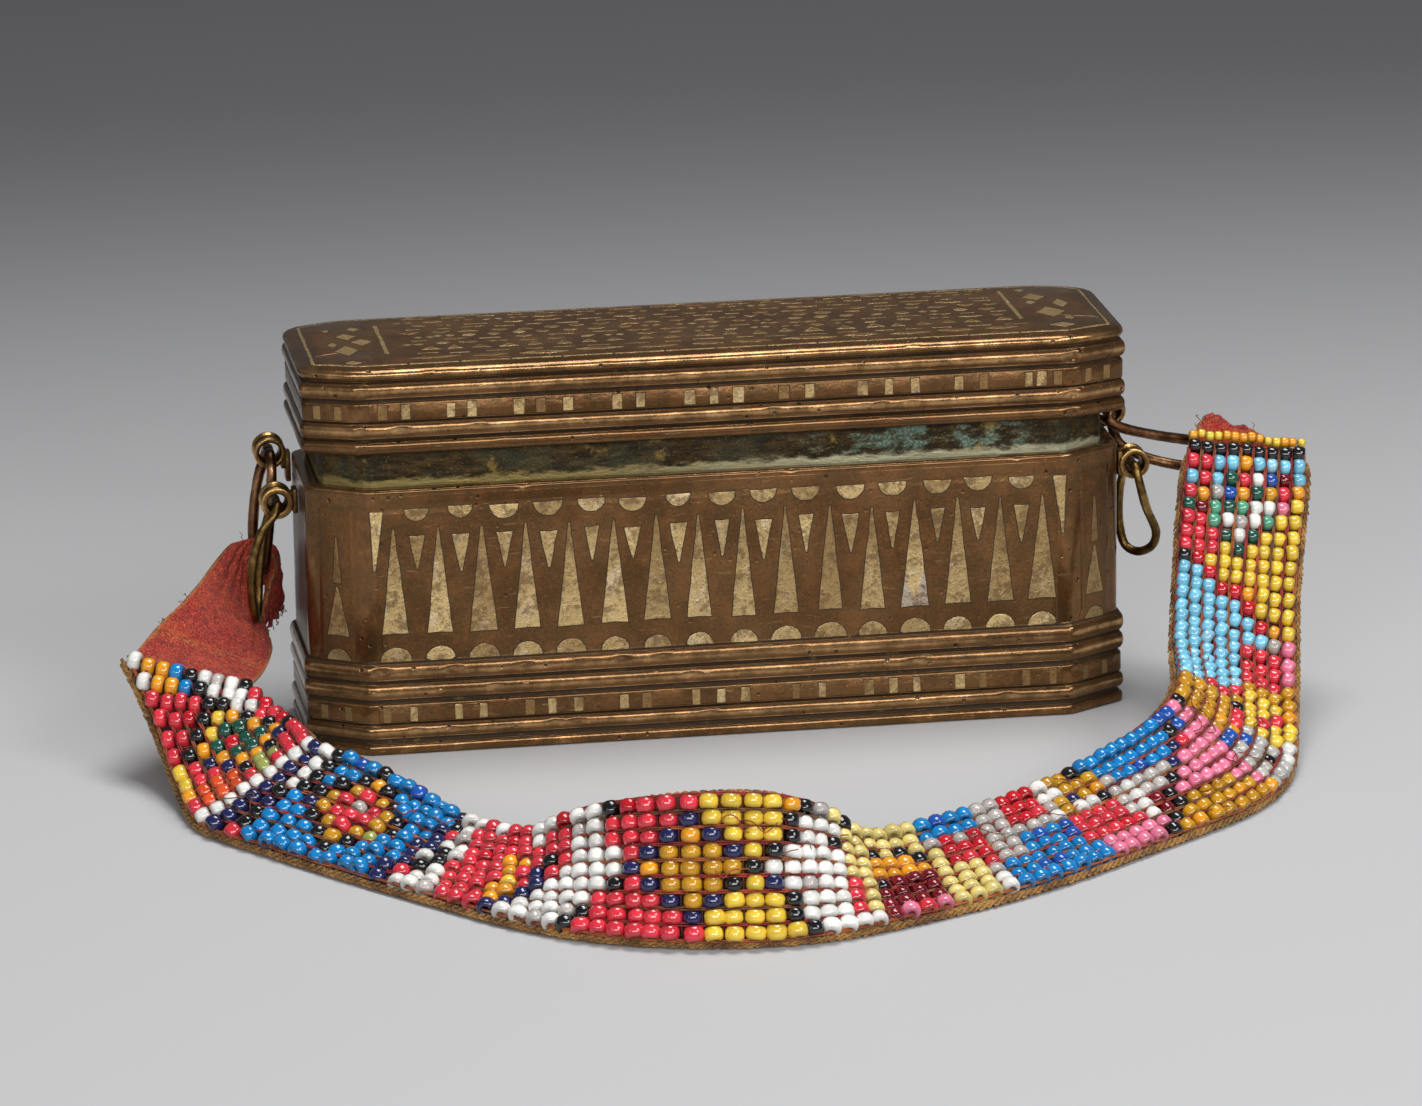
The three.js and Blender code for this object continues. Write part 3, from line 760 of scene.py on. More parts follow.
def make_lid():
    levels = [(LID_CAVITY_INSET, LID_CEILING, 0, 0.7), (LID_CAVITY_INSET, LID_RIM + 0.2, 0, 0.6)]
    inside = len(levels)
    levels += [(LID_CAVITY_INSET - 0.3, LID_RIM, 0.2, 0.4), (PROUD + 0.1, LID_RIM, 0.2, 0.5)]
    levels += mouldings(LID_STACK, LID_RIM)[1:]
    slab = LID_TOP - LID_CROWN - LID_SLAB_EDGE
    slab_level = len(levels)
    levels += [
        (0.45, slab + 0.1, 0.4, 0.4), (0.12, slab + 0.4, 0.7, 0), (0.0, slab + 0.85, 0.9, 0),
        (0.14, slab + 1.35, 1.0, 0), (0.45, slab + 1.65, 0.8, 0), (PROUD, slab + 1.9, 0.45, 0),
        (2.2, slab + 2.12, 0.35, 0), (4.5, LID_TOP - 0.1, 0.2, 0), (6.8, LID_TOP - 0.03, 0.2, 0),
        (LID_CROWN_RUN, LID_TOP, 0.2, 0),
    ]
    nicks = nicks_along(LID_PLAN, (53.3, 56.5, 62.8, 66.0), 34, 9)
    corner_x = LID_PLAN["half_length"] - LID_PLAN["chamfer"][0]
    for z, depth in ((53.3, 0.5), (56.5, 0.4), (62.9, 0.7), (66.1, 0.4)):
        nicks.append(((corner_x - 0.6, -LID_PLAN["half_depth"], z), 1.1, depth))
        nicks.append(((-corner_x + 0.4, -LID_PLAN["half_depth"], z), 0.8, depth * 0.5))
    points, wear, groove, count = cast_shell(
        LID_PLAN, levels, lambda level: FOOT_PLAN if level < inside else LID_PLAN,
        lambda level: SLAB_EASE if level >= slab_level else LID_EASE,
        lambda level: 0.0 if level < inside + 1 else 1.0, nicks,
    )
    # The flat top: rings that shrink to a line
    flat = [points[-count:] * (1 - 0.16 * share, 1 - share, 1) for share in (0.3, 0.6, 0.85, 0.985)]
    extra = count * len(flat)
    return cast_piece(
        "lid", "lid", len(levels) + len(flat), np.vstack([points, *flat]),
        np.append(wear, np.full(extra, 0.2)), np.append(groove, np.zeros(extra)), count,
    )


# Inlay: thin plates of pale metal, each cut by hand, in a dark cut line

INLAY_STEP = 2.0
INLAY_HEIGHT = 0.05
CUT_WIDTH = 0.16
CUT_HEIGHT = 0.015
TOP_BEVEL = 0.07
BLUNT = 0.12
LONG_FACES = ("front", "back")


def resampled(outline, step):
    points = []
    for start, end in zip(outline, np.roll(outline, -1, axis=0)):
        count = max(1, int(np.linalg.norm(end - start) / step))
        points += [start + (end - start) * s / count for s in range(count)]
    return np.array(points)


def grown(outline, width):
    """An outline moved outward by a width."""
    before = unit(outline - np.roll(outline, 1, axis=0))
    after = unit(np.roll(outline, -1, axis=0) - outline)
    normals = np.stack([before[:, 1] + after[:, 1], -before[:, 0] - after[:, 0]], axis=1)
    lengths = np.maximum(1 + np.sum(before * after, axis=1), 0.5)
    return outline + normals / lengths[:, None] * width


class Inlays:
    """Plates that are laid on one surface, gathered into two pieces: the plates and their cut lines."""

    def __init__(self, seed, piece):
        self.draw = random.Random(seed)
        self.surface = edited(piece.data, BVHTree.FromBMesh)
        self.plates, self.tones, self.lines = [], [], []

    def lay(self, outline, to_surface, tone=None, loose=0.07, fade=None):
        """Adds a plate whose outline is in the plane of a face. to_surface turns a plane point and a height
        into a point on the face. A plate with a fade gets darker from one height to another."""
        outline = np.asarray(outline, float)
        ahead = np.roll(outline, -1, axis=0)
        if np.sum(outline[:, 0] * ahead[:, 1] - outline[:, 1] * ahead[:, 0]) < 0:
            outline = outline[::-1]
        outline = resampled(outline, INLAY_STEP)
        outline = outline + spread(self.draw, loose, len(outline), 2)
        tone = self.draw.uniform(0.15, 0.88) if tone is None else tone
        for ring, height, into in (
            (grown(outline, CUT_WIDTH), CUT_HEIGHT, self.lines), (outline, INLAY_HEIGHT, self.plates),
        ):
            rows = ((ring, -0.05), (ring, height * 0.5), (grown(ring, -TOP_BEVEL), height))
            points = [to_surface(point, at) for row, at in rows for point in row]
            into.append((points, ring_faces(3, len(ring))))
        tones = [tone] * len(outline)
        if fade:
            low, high = fade
            tones = [tone * (1 - 0.8 * min(1, max(0, (z - low) / (high - low)))) for _, z in outline]
        self.tones += tones * 3

    def made(self, name, body):
        for ending, parts, material, carried in (
            ("", self.plates, INLAY, {"tone": self.tones}), ("_cut_lines", self.lines, CUT_LINE, {}),
        ):
            piece = piece_from(name + ending, *joined(parts), material, smooth=False, outward=True, **carried)
            finished(piece, body, "patinated_brass")


def triangle(x, base_z, width, tip_z, dip=0.1):
    """An isosceles triangle with a slightly hollow base; the tip may be above or below."""
    half = width / 2
    sign = 1 if tip_z > base_z else -1
    return [
        (x - half, base_z), (x, base_z + sign * dip), (x + half, base_z),
        (x + BLUNT, tip_z), (x - BLUNT, tip_z),
    ]


def half_disc(x, flat_z, radius, rise):
    """Half a disc on a flat side. It stands up for a rise above 0 and hangs for one below."""
    turns = np.linspace(0, math.pi, 9)
    return [(x + radius * math.cos(t), flat_z + rise * radius * math.sin(t)) for t in turns]


def scaled(x, y, length, width, outline, turn=0.0):
    """A unit outline, scaled, turned and put in its place."""
    c, s = math.cos(turn), math.sin(turn)
    return [(x + c * u * length - s * v * width, y + s * u * length + c * v * width) for u, v in outline]


def rectangle(x, y, width, height):
    return scaled(x, y, width, height, ((-0.5, -0.5), (0.5, -0.5), (0.5, 0.5), (-0.5, 0.5)))


def rhombus(x, y, width, height):
    return scaled(x, y, width, height, ((-0.5, 0), (0, -0.5), (0.5, 0), (0, 0.5)))


def lens(x, y, length, width, turn):
    outline = ((-0.5, 0), (-0.22, -0.42), (0.15, -0.5), (0.5, 0), (0.2, 0.45), (-0.25, 0.5))
    return scaled(x, y, length, width, outline, turn)


def upright_faces(inlays, plan, inset):
    """The long faces and the chamfers of a plan: a name, and what turns a point of the face, across and up,
    and a height into a point on the real surface."""
    corners = plan_corners(plan, inset)
    for name, first in (
        ("front", 6), ("back", 2), ("front_left", 5), ("front_right", 7), ("back_right", 1), ("back_left", 3),
    ):
        start, end = corners[first], corners[(first + 1) % 8]
        along = (end - start) / np.linalg.norm(end - start)
        outward = np.array([along[1], -along[0]])

        def to_surface(point, height, middle=(start + end) / 2, along=along, outward=outward):
            flat = middle + along * point[0]
            beyond = Vector((*(flat + outward * 3), point[1]))
            hit = inlays.surface.ray_cast(beyond * MM, Vector((*-outward, 0)), 6 * MM)[0]
            foot = hit / MM if hit else Vector((*flat, point[1]))
            return tuple(foot + Vector((*outward, 0)) * height)

        yield name, to_surface


TALL_COUNT = 16
TALL_PITCH = 7.38
TALL_BASE, TALL_TIP = 20.9, 39.0
TALL_FADE = (27, 37)
PALEST_TALL = 12
DARK_TALL = (2, 6, 15)
SMALL_TOP, SMALL_TIP = 37.7, 31.3
UPPER_DISCS = 42.6
HALF_TOP, HALF_TIP = 42.3, 32.2
FOOT_BAND_MIDDLE = 6.98
FOOT_BAND_RECTANGLES = (
    -57.3, -52.8, -45.2, -41.0, -33.1, -29.3, -24.8, -17.0, -13.1, -4.7, -0.4, 3.8, 12.5, 17.0, 25.1, 29.3,
    33.3, 40.8, 44.8, 52.3, 57.0,
)
FOOT_BAND_DARK = (0, 4, 8, 12, 18, 19, 20)
DARK_TONE = -0.2


def lay_panel(inlays, lay, name):
    """The triangles and half discs of one face of the body's panel."""
    draw = inlays.draw
    foot = FOOT_TOP + 0.2
    if name not in LONG_FACES:
        inlays.lay(triangle(0, 20.4, 4.0, 29.0), lay, 0.25)
        inlays.lay(triangle(0, 29.6, 1.6, 37.6, 0), lay, 0.0)
        inlays.lay(half_disc(0, foot, 2.1, 0.95), lay, 0.2)
        return
    for k in range(TALL_COUNT):
        x = (k - (TALL_COUNT - 1) / 2) * TALL_PITCH + draw.uniform(-0.2, 0.2)
        base = TALL_BASE + draw.uniform(-0.25, 0.25)
        tip = TALL_TIP + draw.uniform(-0.5, 0.6)
        tone = 0.95 if k == PALEST_TALL else 0.3 if k in DARK_TALL else None
        inlays.lay(triangle(x, base, draw.uniform(4.0, 4.8), tip), lay, tone, fade=TALL_FADE)
        inlays.lay(half_disc(x, foot, draw.uniform(2.2, 2.8), 0.95), lay)
    for k in range(TALL_COUNT - 1):
        x = (k - (TALL_COUNT - 2) / 2) * TALL_PITCH + draw.uniform(-0.25, 0.25)
        top = SMALL_TOP + draw.uniform(-0.3, 0.3)
        inlays.lay(triangle(x, top, draw.uniform(2.3, 3.0), SMALL_TIP + draw.uniform(-0.8, 0.8)), lay)
        flat = UPPER_DISCS + draw.uniform(-0.15, 0.15)
        inlays.lay(half_disc(x, flat, draw.uniform(2.0, 2.5), -0.98), lay)
    for side in (-1, 1):
        x = side * (TALL_COUNT / 2) * TALL_PITCH
        inlays.lay([
            (x - side * 1.9, HALF_TOP), (x + side * 0.3, HALF_TOP), (x - side * 0.1, HALF_TIP),
            (x - side * 0.4, HALF_TIP),
        ], lay)


def lay_band(inlays, plan, z, rectangles, dark, tones, widths, heights, ends):
    """The rectangles round a band. ends are those of a chamfer: places, height and tone."""
    draw = inlays.draw
    for name, lay in upright_faces(inlays, plan, BAND_INSET):
        if name in LONG_FACES:
            for k, x in enumerate(rectangles):
                tone = DARK_TONE if k in dark else draw.uniform(*tones)
                inlays.lay(rectangle(x, z, draw.uniform(*widths), draw.uniform(*heights)), lay, tone)
        else:
            places, height, tone = ends
            for x in places:
                inlays.lay(rectangle(x, z, 1.2, height), lay, tone)


def inlay_body(body):
    inlays = Inlays(21, body)
    for name, lay in upright_faces(inlays, FOOT_PLAN, PROUD):
        lay_panel(inlays, lay, name)
    lay_band(
        inlays, FOOT_PLAN, FOOT_BAND_MIDDLE, FOOT_BAND_RECTANGLES, FOOT_BAND_DARK, (0.15, 0.6), (1.2, 1.7),
        (2.4, 2.85), ((-2.6, 1.8), 2.4, -0.1),
    )
    inlays.made("body_inlay", "box")


LID_BAND_MIDDLE = 59.5
LID_BAND_RECTANGLES = (
    -56.8, -52.9, -45.3, -41.8, -33.9, -30.2, -25.6, -17.4, -13.4, -5.1, -1.0, 3.2, 10.9, 15.3, 24.3, 28.8,
    33.3, 40.8, 45.1, 52.8, 55.0, 57.8,
)
LID_BAND_DARK = (0, 5, 12, 18, 21)
# The lid's line along its edge, and its two bars: place, from, to
EDGE_LINE_INSET = 2.7
BARS = ((-54.8, -9.5, 10.0), (53.6, -7.7, 12.5))
# Rhombi at the lid's ends: place, width, height
RHOMBI = (
    (-61.2, -6.2, 4.0, 6.6), (-58.1, -0.8, 3.4, 4.6), (-60.6, 3.4, 3.4, 4.2), (-63.2, -1.8, 1.5, 3.6),
    (-61.0, -14.0, 3.0, 1.8), (-58.7, 8.2, 2.0, 2.4), (-63.3, 8.0, 1.3, 2.0), (59.4, -3.9, 4.8, 7.0),
    (58.7, 6.9, 4.0, 5.0), (62.2, 1.9, 2.8, 6.0), (57.3, 3.2, 1.8, 2.8), (59.7, -12.8, 4.4, 2.8),
    (61.8, -8.5, 2.0, 3.0), (57.3, 12.2, 1.9, 2.0),
)
# Rows of slivers on the lid: their place across it, the kinds in them, and how long and how wide they are
SLIVER_ROWS = (
    (-13.1, ("lens",), (5.0, 9.5), 1.5), (-10.7, ("dash",), (2.6, 6.5), 0.8),
    (-7.3, ("triangle",), (2.6, 3.6), 2.6), (-4.4, ("lens", "drop", "pair"), (2.2, 4.4), 1.3),
    (-1.9, ("lens", "dash"), (2.6, 5.2), 1.1), (0.6, ("drop", "lens", "pair"), (2.2, 4.2), 1.5),
    (3.4, ("lens", "triangle"), (2.4, 3.8), 1.5), (5.9, ("lens", "dash"), (2.6, 5.0), 1.0),
    (8.2, ("lens", "dash", "drop"), (2.4, 5.4), 1.1), (11.0, ("lens", "pair"), (2.4, 4.4), 1.2),
    (13.4, ("lens", "dash"), (2.8, 6.0), 1.0), (15.4, ("lens",), (4.5, 8.5), 1.0),
)
ROWS_START, ROWS_END = -51.5, 50.0


def inlay_lid(lid):
    inlays = Inlays(35, lid)
    draw = inlays.draw
    lay_band(
        inlays, LID_PLAN, LID_BAND_MIDDLE, LID_BAND_RECTANGLES, LID_BAND_DARK, (0.25, 0.7), (1.3, 1.9),
        (2.3, 2.7), ((-2.3, 1.4), 2.3, 0.0),
    )

    def on_top(point, height):
        start = Vector((point[0], point[1], LID_TOP + 3))
        hit = inlays.surface.ray_cast(start * MM, Vector((0, 0, -1)), 8 * MM)[0]
        return tuple(hit / MM + Vector((0, 0, height)))

    def strip(start, end, width, pieces):
        along = (end - start) / np.linalg.norm(end - start)
        across = np.array([-along[1], along[0]]) * width / 2
        step = np.linalg.norm(end - start) / pieces
        for k in range(pieces):
            near, far = start + along * step * k, start + along * step * (k + 0.96)
            inlays.lay([near - across, far - across, far + across, near + across], on_top, 0.35, 0.08)

    def rimmed(shape, tone):
        """A sliver with a pale rim round a brown middle."""
        inlays.lay(shape, on_top, tone, 0.06)
        ring = np.array(shape, float)
        middle = ring.mean(axis=0)
        inner = middle + (ring - middle) * 0.62
        inlays.lay(inner, lambda point, height: on_top(point, height + 0.03), -0.45, 0.0)

    corners = plan_corners(LID_PLAN, EDGE_LINE_INSET)
    for k in range(8):
        strip(corners[k], corners[(k + 1) % 8], 0.45, 14 if k in (2, 6) else 3)
    for x, low, high in BARS:
        strip(np.array((x, low)), np.array((x, high)), 0.7, 5)
    for shape in RHOMBI:
        inlays.lay(rhombus(*shape), on_top, draw.uniform(0.25, 0.5), 0.2)
    for row, (y, kinds, lengths, wide) in enumerate(SLIVER_ROWS):
        x = ROWS_START + (row % 3) * 1.3
        while x < ROWS_END:
            length = draw.uniform(*lengths)
            kind = draw.choice(kinds)
            middle = x + length / 2
            place = y + draw.uniform(-0.35, 0.35)
            slant = draw.uniform(-0.08, 0.08)
            tone = draw.uniform(0.05, 0.6)
            width = wide * draw.uniform(0.75, 1.1)
            if kind == "lens":
                rimmed(lens(middle, place, length, width, slant), tone)
            elif kind == "dash":
                inlays.lay(rectangle(middle, place, length * 0.85, width * 0.5), on_top, tone * 0.8, 0.1)
            elif kind == "drop":
                inlays.lay(lens(middle, place, min(length, 2.6), width, slant * 4), on_top, tone + 0.1, 0.08)
            elif kind == "pair":
                for offset in (-1.0, 1.0):
                    inlays.lay(rhombus(middle + offset, place, 1.6, width), on_top, tone, 0.08)
            else:
                base = width / 2 * (1 if y < 0 else draw.choice((-1, 1)))
                start, end = middle - length / 2, middle + length / 2
                rimmed([(start, place - base), (end, place - base), (middle, place + base)], tone)
            x += length + draw.uniform(0.9, 2.4)
    inlays.made("lid_inlay", "lid")


body = make_body()
lid = make_lid()
inlay_body(body)
inlay_lid(lid)
for name in ("collar", "divider_1", "divider_2", "divider_3"):
    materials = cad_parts[name].data.materials
    materials.clear()
    materials.append(VERDIGRIS)


# Eyelets: turned spools on a cast foot

EYELETS = {
    "lower_left": {"side": -1, "centre": (-73.4, -0.9, 40.8), "flange": 2.8, "waist": 2.2, "bore": 1.6},
    "lower_right": {"side": 1, "centre": (72.7, -8.7, 41.7), "flange": 2.65, "waist": 2.15, "bore": 1.6},
    "upper_left": {"side": -1, "centre": (-73.4, 10.0, 46.7), "flange": 2.75, "waist": 2.3, "bore": 1.8},
    "upper_right": {"side": 1, "centre": (70.1, -0.8, 49.15), "flange": 2.75, "waist": 2.3, "bore": 1.8},
}
EYELET_LENGTH = 4.5
EYELET_SIDES = 40
# The rim's section from the bore to the waist: which radius it starts from, what is added, how far in
RIM = (
    ("bore", 0, 0.25), ("bore", 0.12, 0.08), ("bore", 0.3, 0), ("flange", -0.3, 0),
    ("flange", -0.08, 0.1), ("flange", 0, 0.32), ("flange", -0.02, 0.62), ("flange", -0.2, 0.84),
    ("waist", 0.1, 1.0), ("waist", 0, 1.3),
)


def block(low, high, ease=0.25):
    """A block with eased edges, as points and faces."""
    work = bmesh.new()
    bmesh.ops.create_cube(work, size=1.0)
    for vertex in work.verts:
        vertex.co = Vector([low[k] if vertex.co[k] < 0 else high[k] for k in range(3)])
    bmesh.ops.bevel(work, geom=work.edges[:], offset=ease, segments=3, affect="EDGES", profile=0.5)
    points = [tuple(v.co) for v in work.verts]
    faces = [tuple(v.index for v in f.verts) for f in work.faces]
    work.free()
    return points, faces


def make_eyelet(where, size):
    x, y, z = size["centre"]
    bore, waist, flange = size["bore"], size["waist"], size["flange"]
    rim = [(size[start] + more, EYELET_LENGTH / 2 - inward) for start, more, inward in RIM]
    profile = rim + [(r, -d) for r, d in reversed(rim)]
    turns = turns_round(EYELET_SIDES)
    spool = [(x + r * math.cos(t), y + d, z + r * math.sin(t)) for r, d in profile for t in turns]
    wear = [min(1.0, max(0.0, (r - waist) / (flange - waist) + 0.35)) for r, _ in profile for _ in turns]
    if where == "upper_right":
        foot = [block((x - 1.1, y - 1.3, BODY_TOP + 0.2), (x + 0.9, y + 1.3, z - bore - 0.15))]
    else:
        inner = size["side"] * (END_FACE + 0.25)
        plate = sorted((inner, inner + size["side"] * 0.9))
        arm = sorted((inner, x - size["side"] * (bore + 0.1)))
        drop = min(0.0, BODY_TOP - 2.5 - z)
        foot = [
            block((plate[0], y - 1.6, z + drop - 2.1), (plate[1], y + 1.6, z + drop + 2.1)),
            block((arm[0], y - 1.2, z + drop / 2 - 1.5), (arm[1], y + 1.2, z + drop / 2 + 1.5)),
        ]
    points, faces = joined([(spool, ring_faces(len(profile), EYELET_SIDES, closed=True)), *foot])
    wear += [0.3] * (len(points) - len(wear))
    piece = piece_from(f"spool_{where}", points, faces, EYELET_BRASS, outward=True, wear=wear)
    sharpen(piece, 60)
    finished(piece, "box", "plain_brass", f"eyelet_{where}")


for where, size in EYELETS.items():
    make_eyelet(where, size)


# Wire loops, on the routes of the part's source, from the middle of each eyelet: radius and route

LOOPS = {
    "lower_left": (0.75, (
        (-0.9, -3.8, -1.8), (-2.8, -4.1, -4.1), (-4.3, -4.2, -8.2), (-5.0, -4.0, -13.4), (-4.5, -2.7, -18.8),
        (-3.9, -0.3, -20.6), (-3.4, 2.1, -18.8), (-2.8, 3.5, -12.8), (-1.8, 3.8, -6.3), (-0.5, 3.5, -1.9),
    )),
    "lower_right": (0.75, (
        (0.3, -3.6, -2.1), (1.8, -3.1, -7.5), (3.9, -1.5, -12.5), (3.5, 0.5, -15.5), (1.5, 2.7, -16.9),
        (-0.2, 4.3, -16.1), (-1.1, 4.9, -12.7), (-1.2, 4.7, -6.7), (-0.4, 3.9, -2.0),
    )),
    "upper_left": (0.9, (
        (0.0, -4.1, -2.4), (-0.2, -4.2, -6.0), (-0.9, -4.1, -13.7), (-1.5, -3.6, -18.5), (-1.9, -2.0, -20.4),
        (-2.3, 0.0, -20.6), (-2.6, 2.0, -20.3), (-2.8, 3.6, -18.3), (-2.7, 4.2, -13.7), (-1.6, 4.2, -6.0),
        (-0.4, 4.0, -2.2),
    )),
    "upper_right": (0.9, (
        (-0.6, -3.9, -1.1), (1.2, -3.8, -2.4), (6.9, -2.8, -4.3), (14.5, -0.8, -6.3), (21.5, 0.4, -7.8),
        (24.2, 1.3, -9.2), (24.8, 2.2, -10.8), (23.2, 2.8, -12.2), (19.0, 2.9, -12.5), (11.0, 3.3, -11.2),
        (6.4, 4.6, -9.8), (3.2, 5.8, -7.8), (2.0, 5.9, -4.6), (0.9, 4.6, -1.9),
    )),
}
WIRE_REST = 0.4
WIRE_END_GAP = 0.4
WIRE_SIDES = 16
WIRE_STEP = 0.45


def make_loop(where, radius, route):
    exit_y = EYELET_LENGTH / 2 + radius / 2
    ends = (0, -WIRE_END_GAP / 2, -WIRE_REST), (0, -exit_y, -WIRE_REST)
    points = [*ends, *route, *((x, -y, z) for x, y, z in reversed(ends))]
    line = even_points(np.array(points) + EYELETS[where]["centre"], WIRE_STEP)
    swell = np.array([1 + 0.07 * noise_at(p, 0.3) + 0.04 * noise_at(p, 1.3) for p in line])
    wear = np.repeat([0.5 + 0.5 * noise_at(p, 0.25) for p in line], WIRE_SIDES)
    copper = where.startswith("upper")
    material, slot = (LOOP_COPPER, "copper_wire") if copper else (LOOP_BRASS, "plain_brass")
    wire = tube(line, radius * swell, WIRE_SIDES)
    piece = piece_from(f"wire_{where}", *wire, material, outward=True, wear=wear)
    finished(piece, f"loop_{where}", slot, f"loop_{where}")


for where, (radius, route) in LOOPS.items():
    make_loop(where, radius, route)


# Strap: the two edges, with the stations of the part's source

BEAD_COLUMNS = 9
STRAP_WIDTH = 22
OUTER_CORD = 0.9
INNER_CORD = 0.6
CORD_GAP = 0.3
GROUND = OUTER_CORD + 0.05
STRAP_STATIONS = (
    ((-101.5, -19, 20), (-80.5, -25, 14.8)), ((-97.5, -27, 11), (-76, -34, 12.5)),
    ((-94.8, -39, 3.6), (-73.5, -42, 12.8)), ((-92, -55, GROUND), (-72, -52, 13)),
    ((-83, -68.5, GROUND), (-66.2, -58, 12)), ((-72.3, -83, GROUND), (-58.6, -67, 9.5)),
    ((-59.6, -99, GROUND), (-50.9, -78.5, 7.2)), ((-47.8, -113, GROUND), (-43, -92, 9.2)),
    ((-36.2, -122, GROUND), (-34.3, -105.5, 16.9)), ((-24, -127, GROUND), (-23, -117.5, 22)),
    ((-10.7, -129, GROUND), (-9.5, -119.5, 22)), ((-0.4, -128, GROUND), (0, -111.3, 16.5)),
    ((10.9, -124, GROUND), (9.4, -102, 8.4)), ((33.7, -112.5, GROUND), (29, -91, 7.6)),
    ((57.7, -95, GROUND), (49.7, -75, 8.8)), ((79, -77, GROUND), (63.5, -66, 13.5)),
    ((88, -62, 1.6), (70.5, -53, 15)), ((93.2, -43.8, 9.6), (74.3, -34, 17)),
    ((96.9, -28.8, 23), (76.9, -24.6, 26.5)), ((102, -13.5, 36), (80.3, -13.8, 37.5)),
    ((103, -10, 41.4), (82.9, -6.8, 43.6)),
)
# How close the rows of beads are, in millimetres, at places along the strap
PITCH_PLACES = (0, 80, 135, 190, 240, 319)
ROW_PITCHES = (3.3, 3.1, 3.25, 3.05, 2.9, 2.7)
BEAD_FILL = 0.98
COLUMN_SPREAD = 1.09
END_OVERLAP = 1.0


def edge_lines(stations, samples):
    """The two edges of a band, evenly sampled by spans."""
    return (spline([station[k] for station in stations], np.linspace(0, 1, samples)) for k in (0, 1))


class Strap:
    """The ribbon between the two edge cords, by a distance along it and a share of its width."""

    def __init__(self, stations, samples=1600):
        self.outer, self.inner = edge_lines(stations, samples)
        self.across = unit(self.inner - self.outer)
        outer_along, inner_along = tangents(self.outer), tangents(self.inner)
        self.normal = unit(np.cross(outer_along + inner_along, self.across))
        slant_outer, slant_inner = (
            np.linalg.norm(np.cross(self.across, along), axis=1)[:, None]
            for along in (outer_along, inner_along)
        )
        self.start = self.outer + self.across * (OUTER_CORD + CORD_GAP) / slant_outer
        self.end = self.inner - self.across * (INNER_CORD + CORD_GAP) / slant_inner
        self.lengths = run_along((self.outer + self.inner) / 2)
        self.length = self.lengths[-1]
        self.onward = 1 if np.dot(np.cross(self.normal[0], self.across[0]), outer_along[0]) > 0 else -1

    def at(self, line, distance):
        """One of the sampled lines at distances along the strap."""
        return read_line(distance, self.lengths, line)

    def point(self, distance, share, height=0.0):
        """Points at distances, shares and heights over the ribbon, also a little beyond its ends."""
        beyond = np.asarray(distance) - np.clip(distance, 0, self.length)
        share, height, beyond = (np.reshape(v, (-1, 1)) if np.ndim(v) else v for v in (share, height, beyond))
        start, end = self.at(self.start, distance), self.at(self.end, distance)
        normal = unit(self.at(self.normal, distance))
        ahead = np.cross(normal, unit(self.at(self.across, distance)))
        onward = beyond * ahead * self.onward
        return start + (end - start) * share + normal * height + onward


def row_places(length):
    """Where each row of beads lies along the strap, and where the rows begin and end."""
    distances = np.linspace(0, length, 4000)
    rate = 1 / np.interp(distances, PITCH_PLACES, ROW_PITCHES)
    counts = np.concatenate([[0], np.cumsum((rate[1:] + rate[:-1]) / 2 * np.diff(distances))])
    rows = round(counts[-1])
    counts *= rows / counts[-1]
    middles = np.interp(np.arange(rows) + 0.5, counts, distances)
    return middles, np.interp(np.arange(rows + 1), counts, distances)


def spread_share(share):
    """A share of the width, with the columns spread a little over the edges."""
    return 0.5 + (share - 0.5) * COLUMN_SPREAD


strap = Strap(STRAP_STATIONS)
ROW_MIDDLES, ROW_EDGES = row_places(strap.length)
ROWS = len(ROW_MIDDLES)


# Geometry Nodes: copies of a shape on points that carry their own turn, stretch and tint


def euler_of(x_axis, y_axis, z_axis):
    """The turn that brings the axes of a shape to three directions."""
    return tuple(Matrix((x_axis, y_axis, z_axis)).transposed().to_euler())


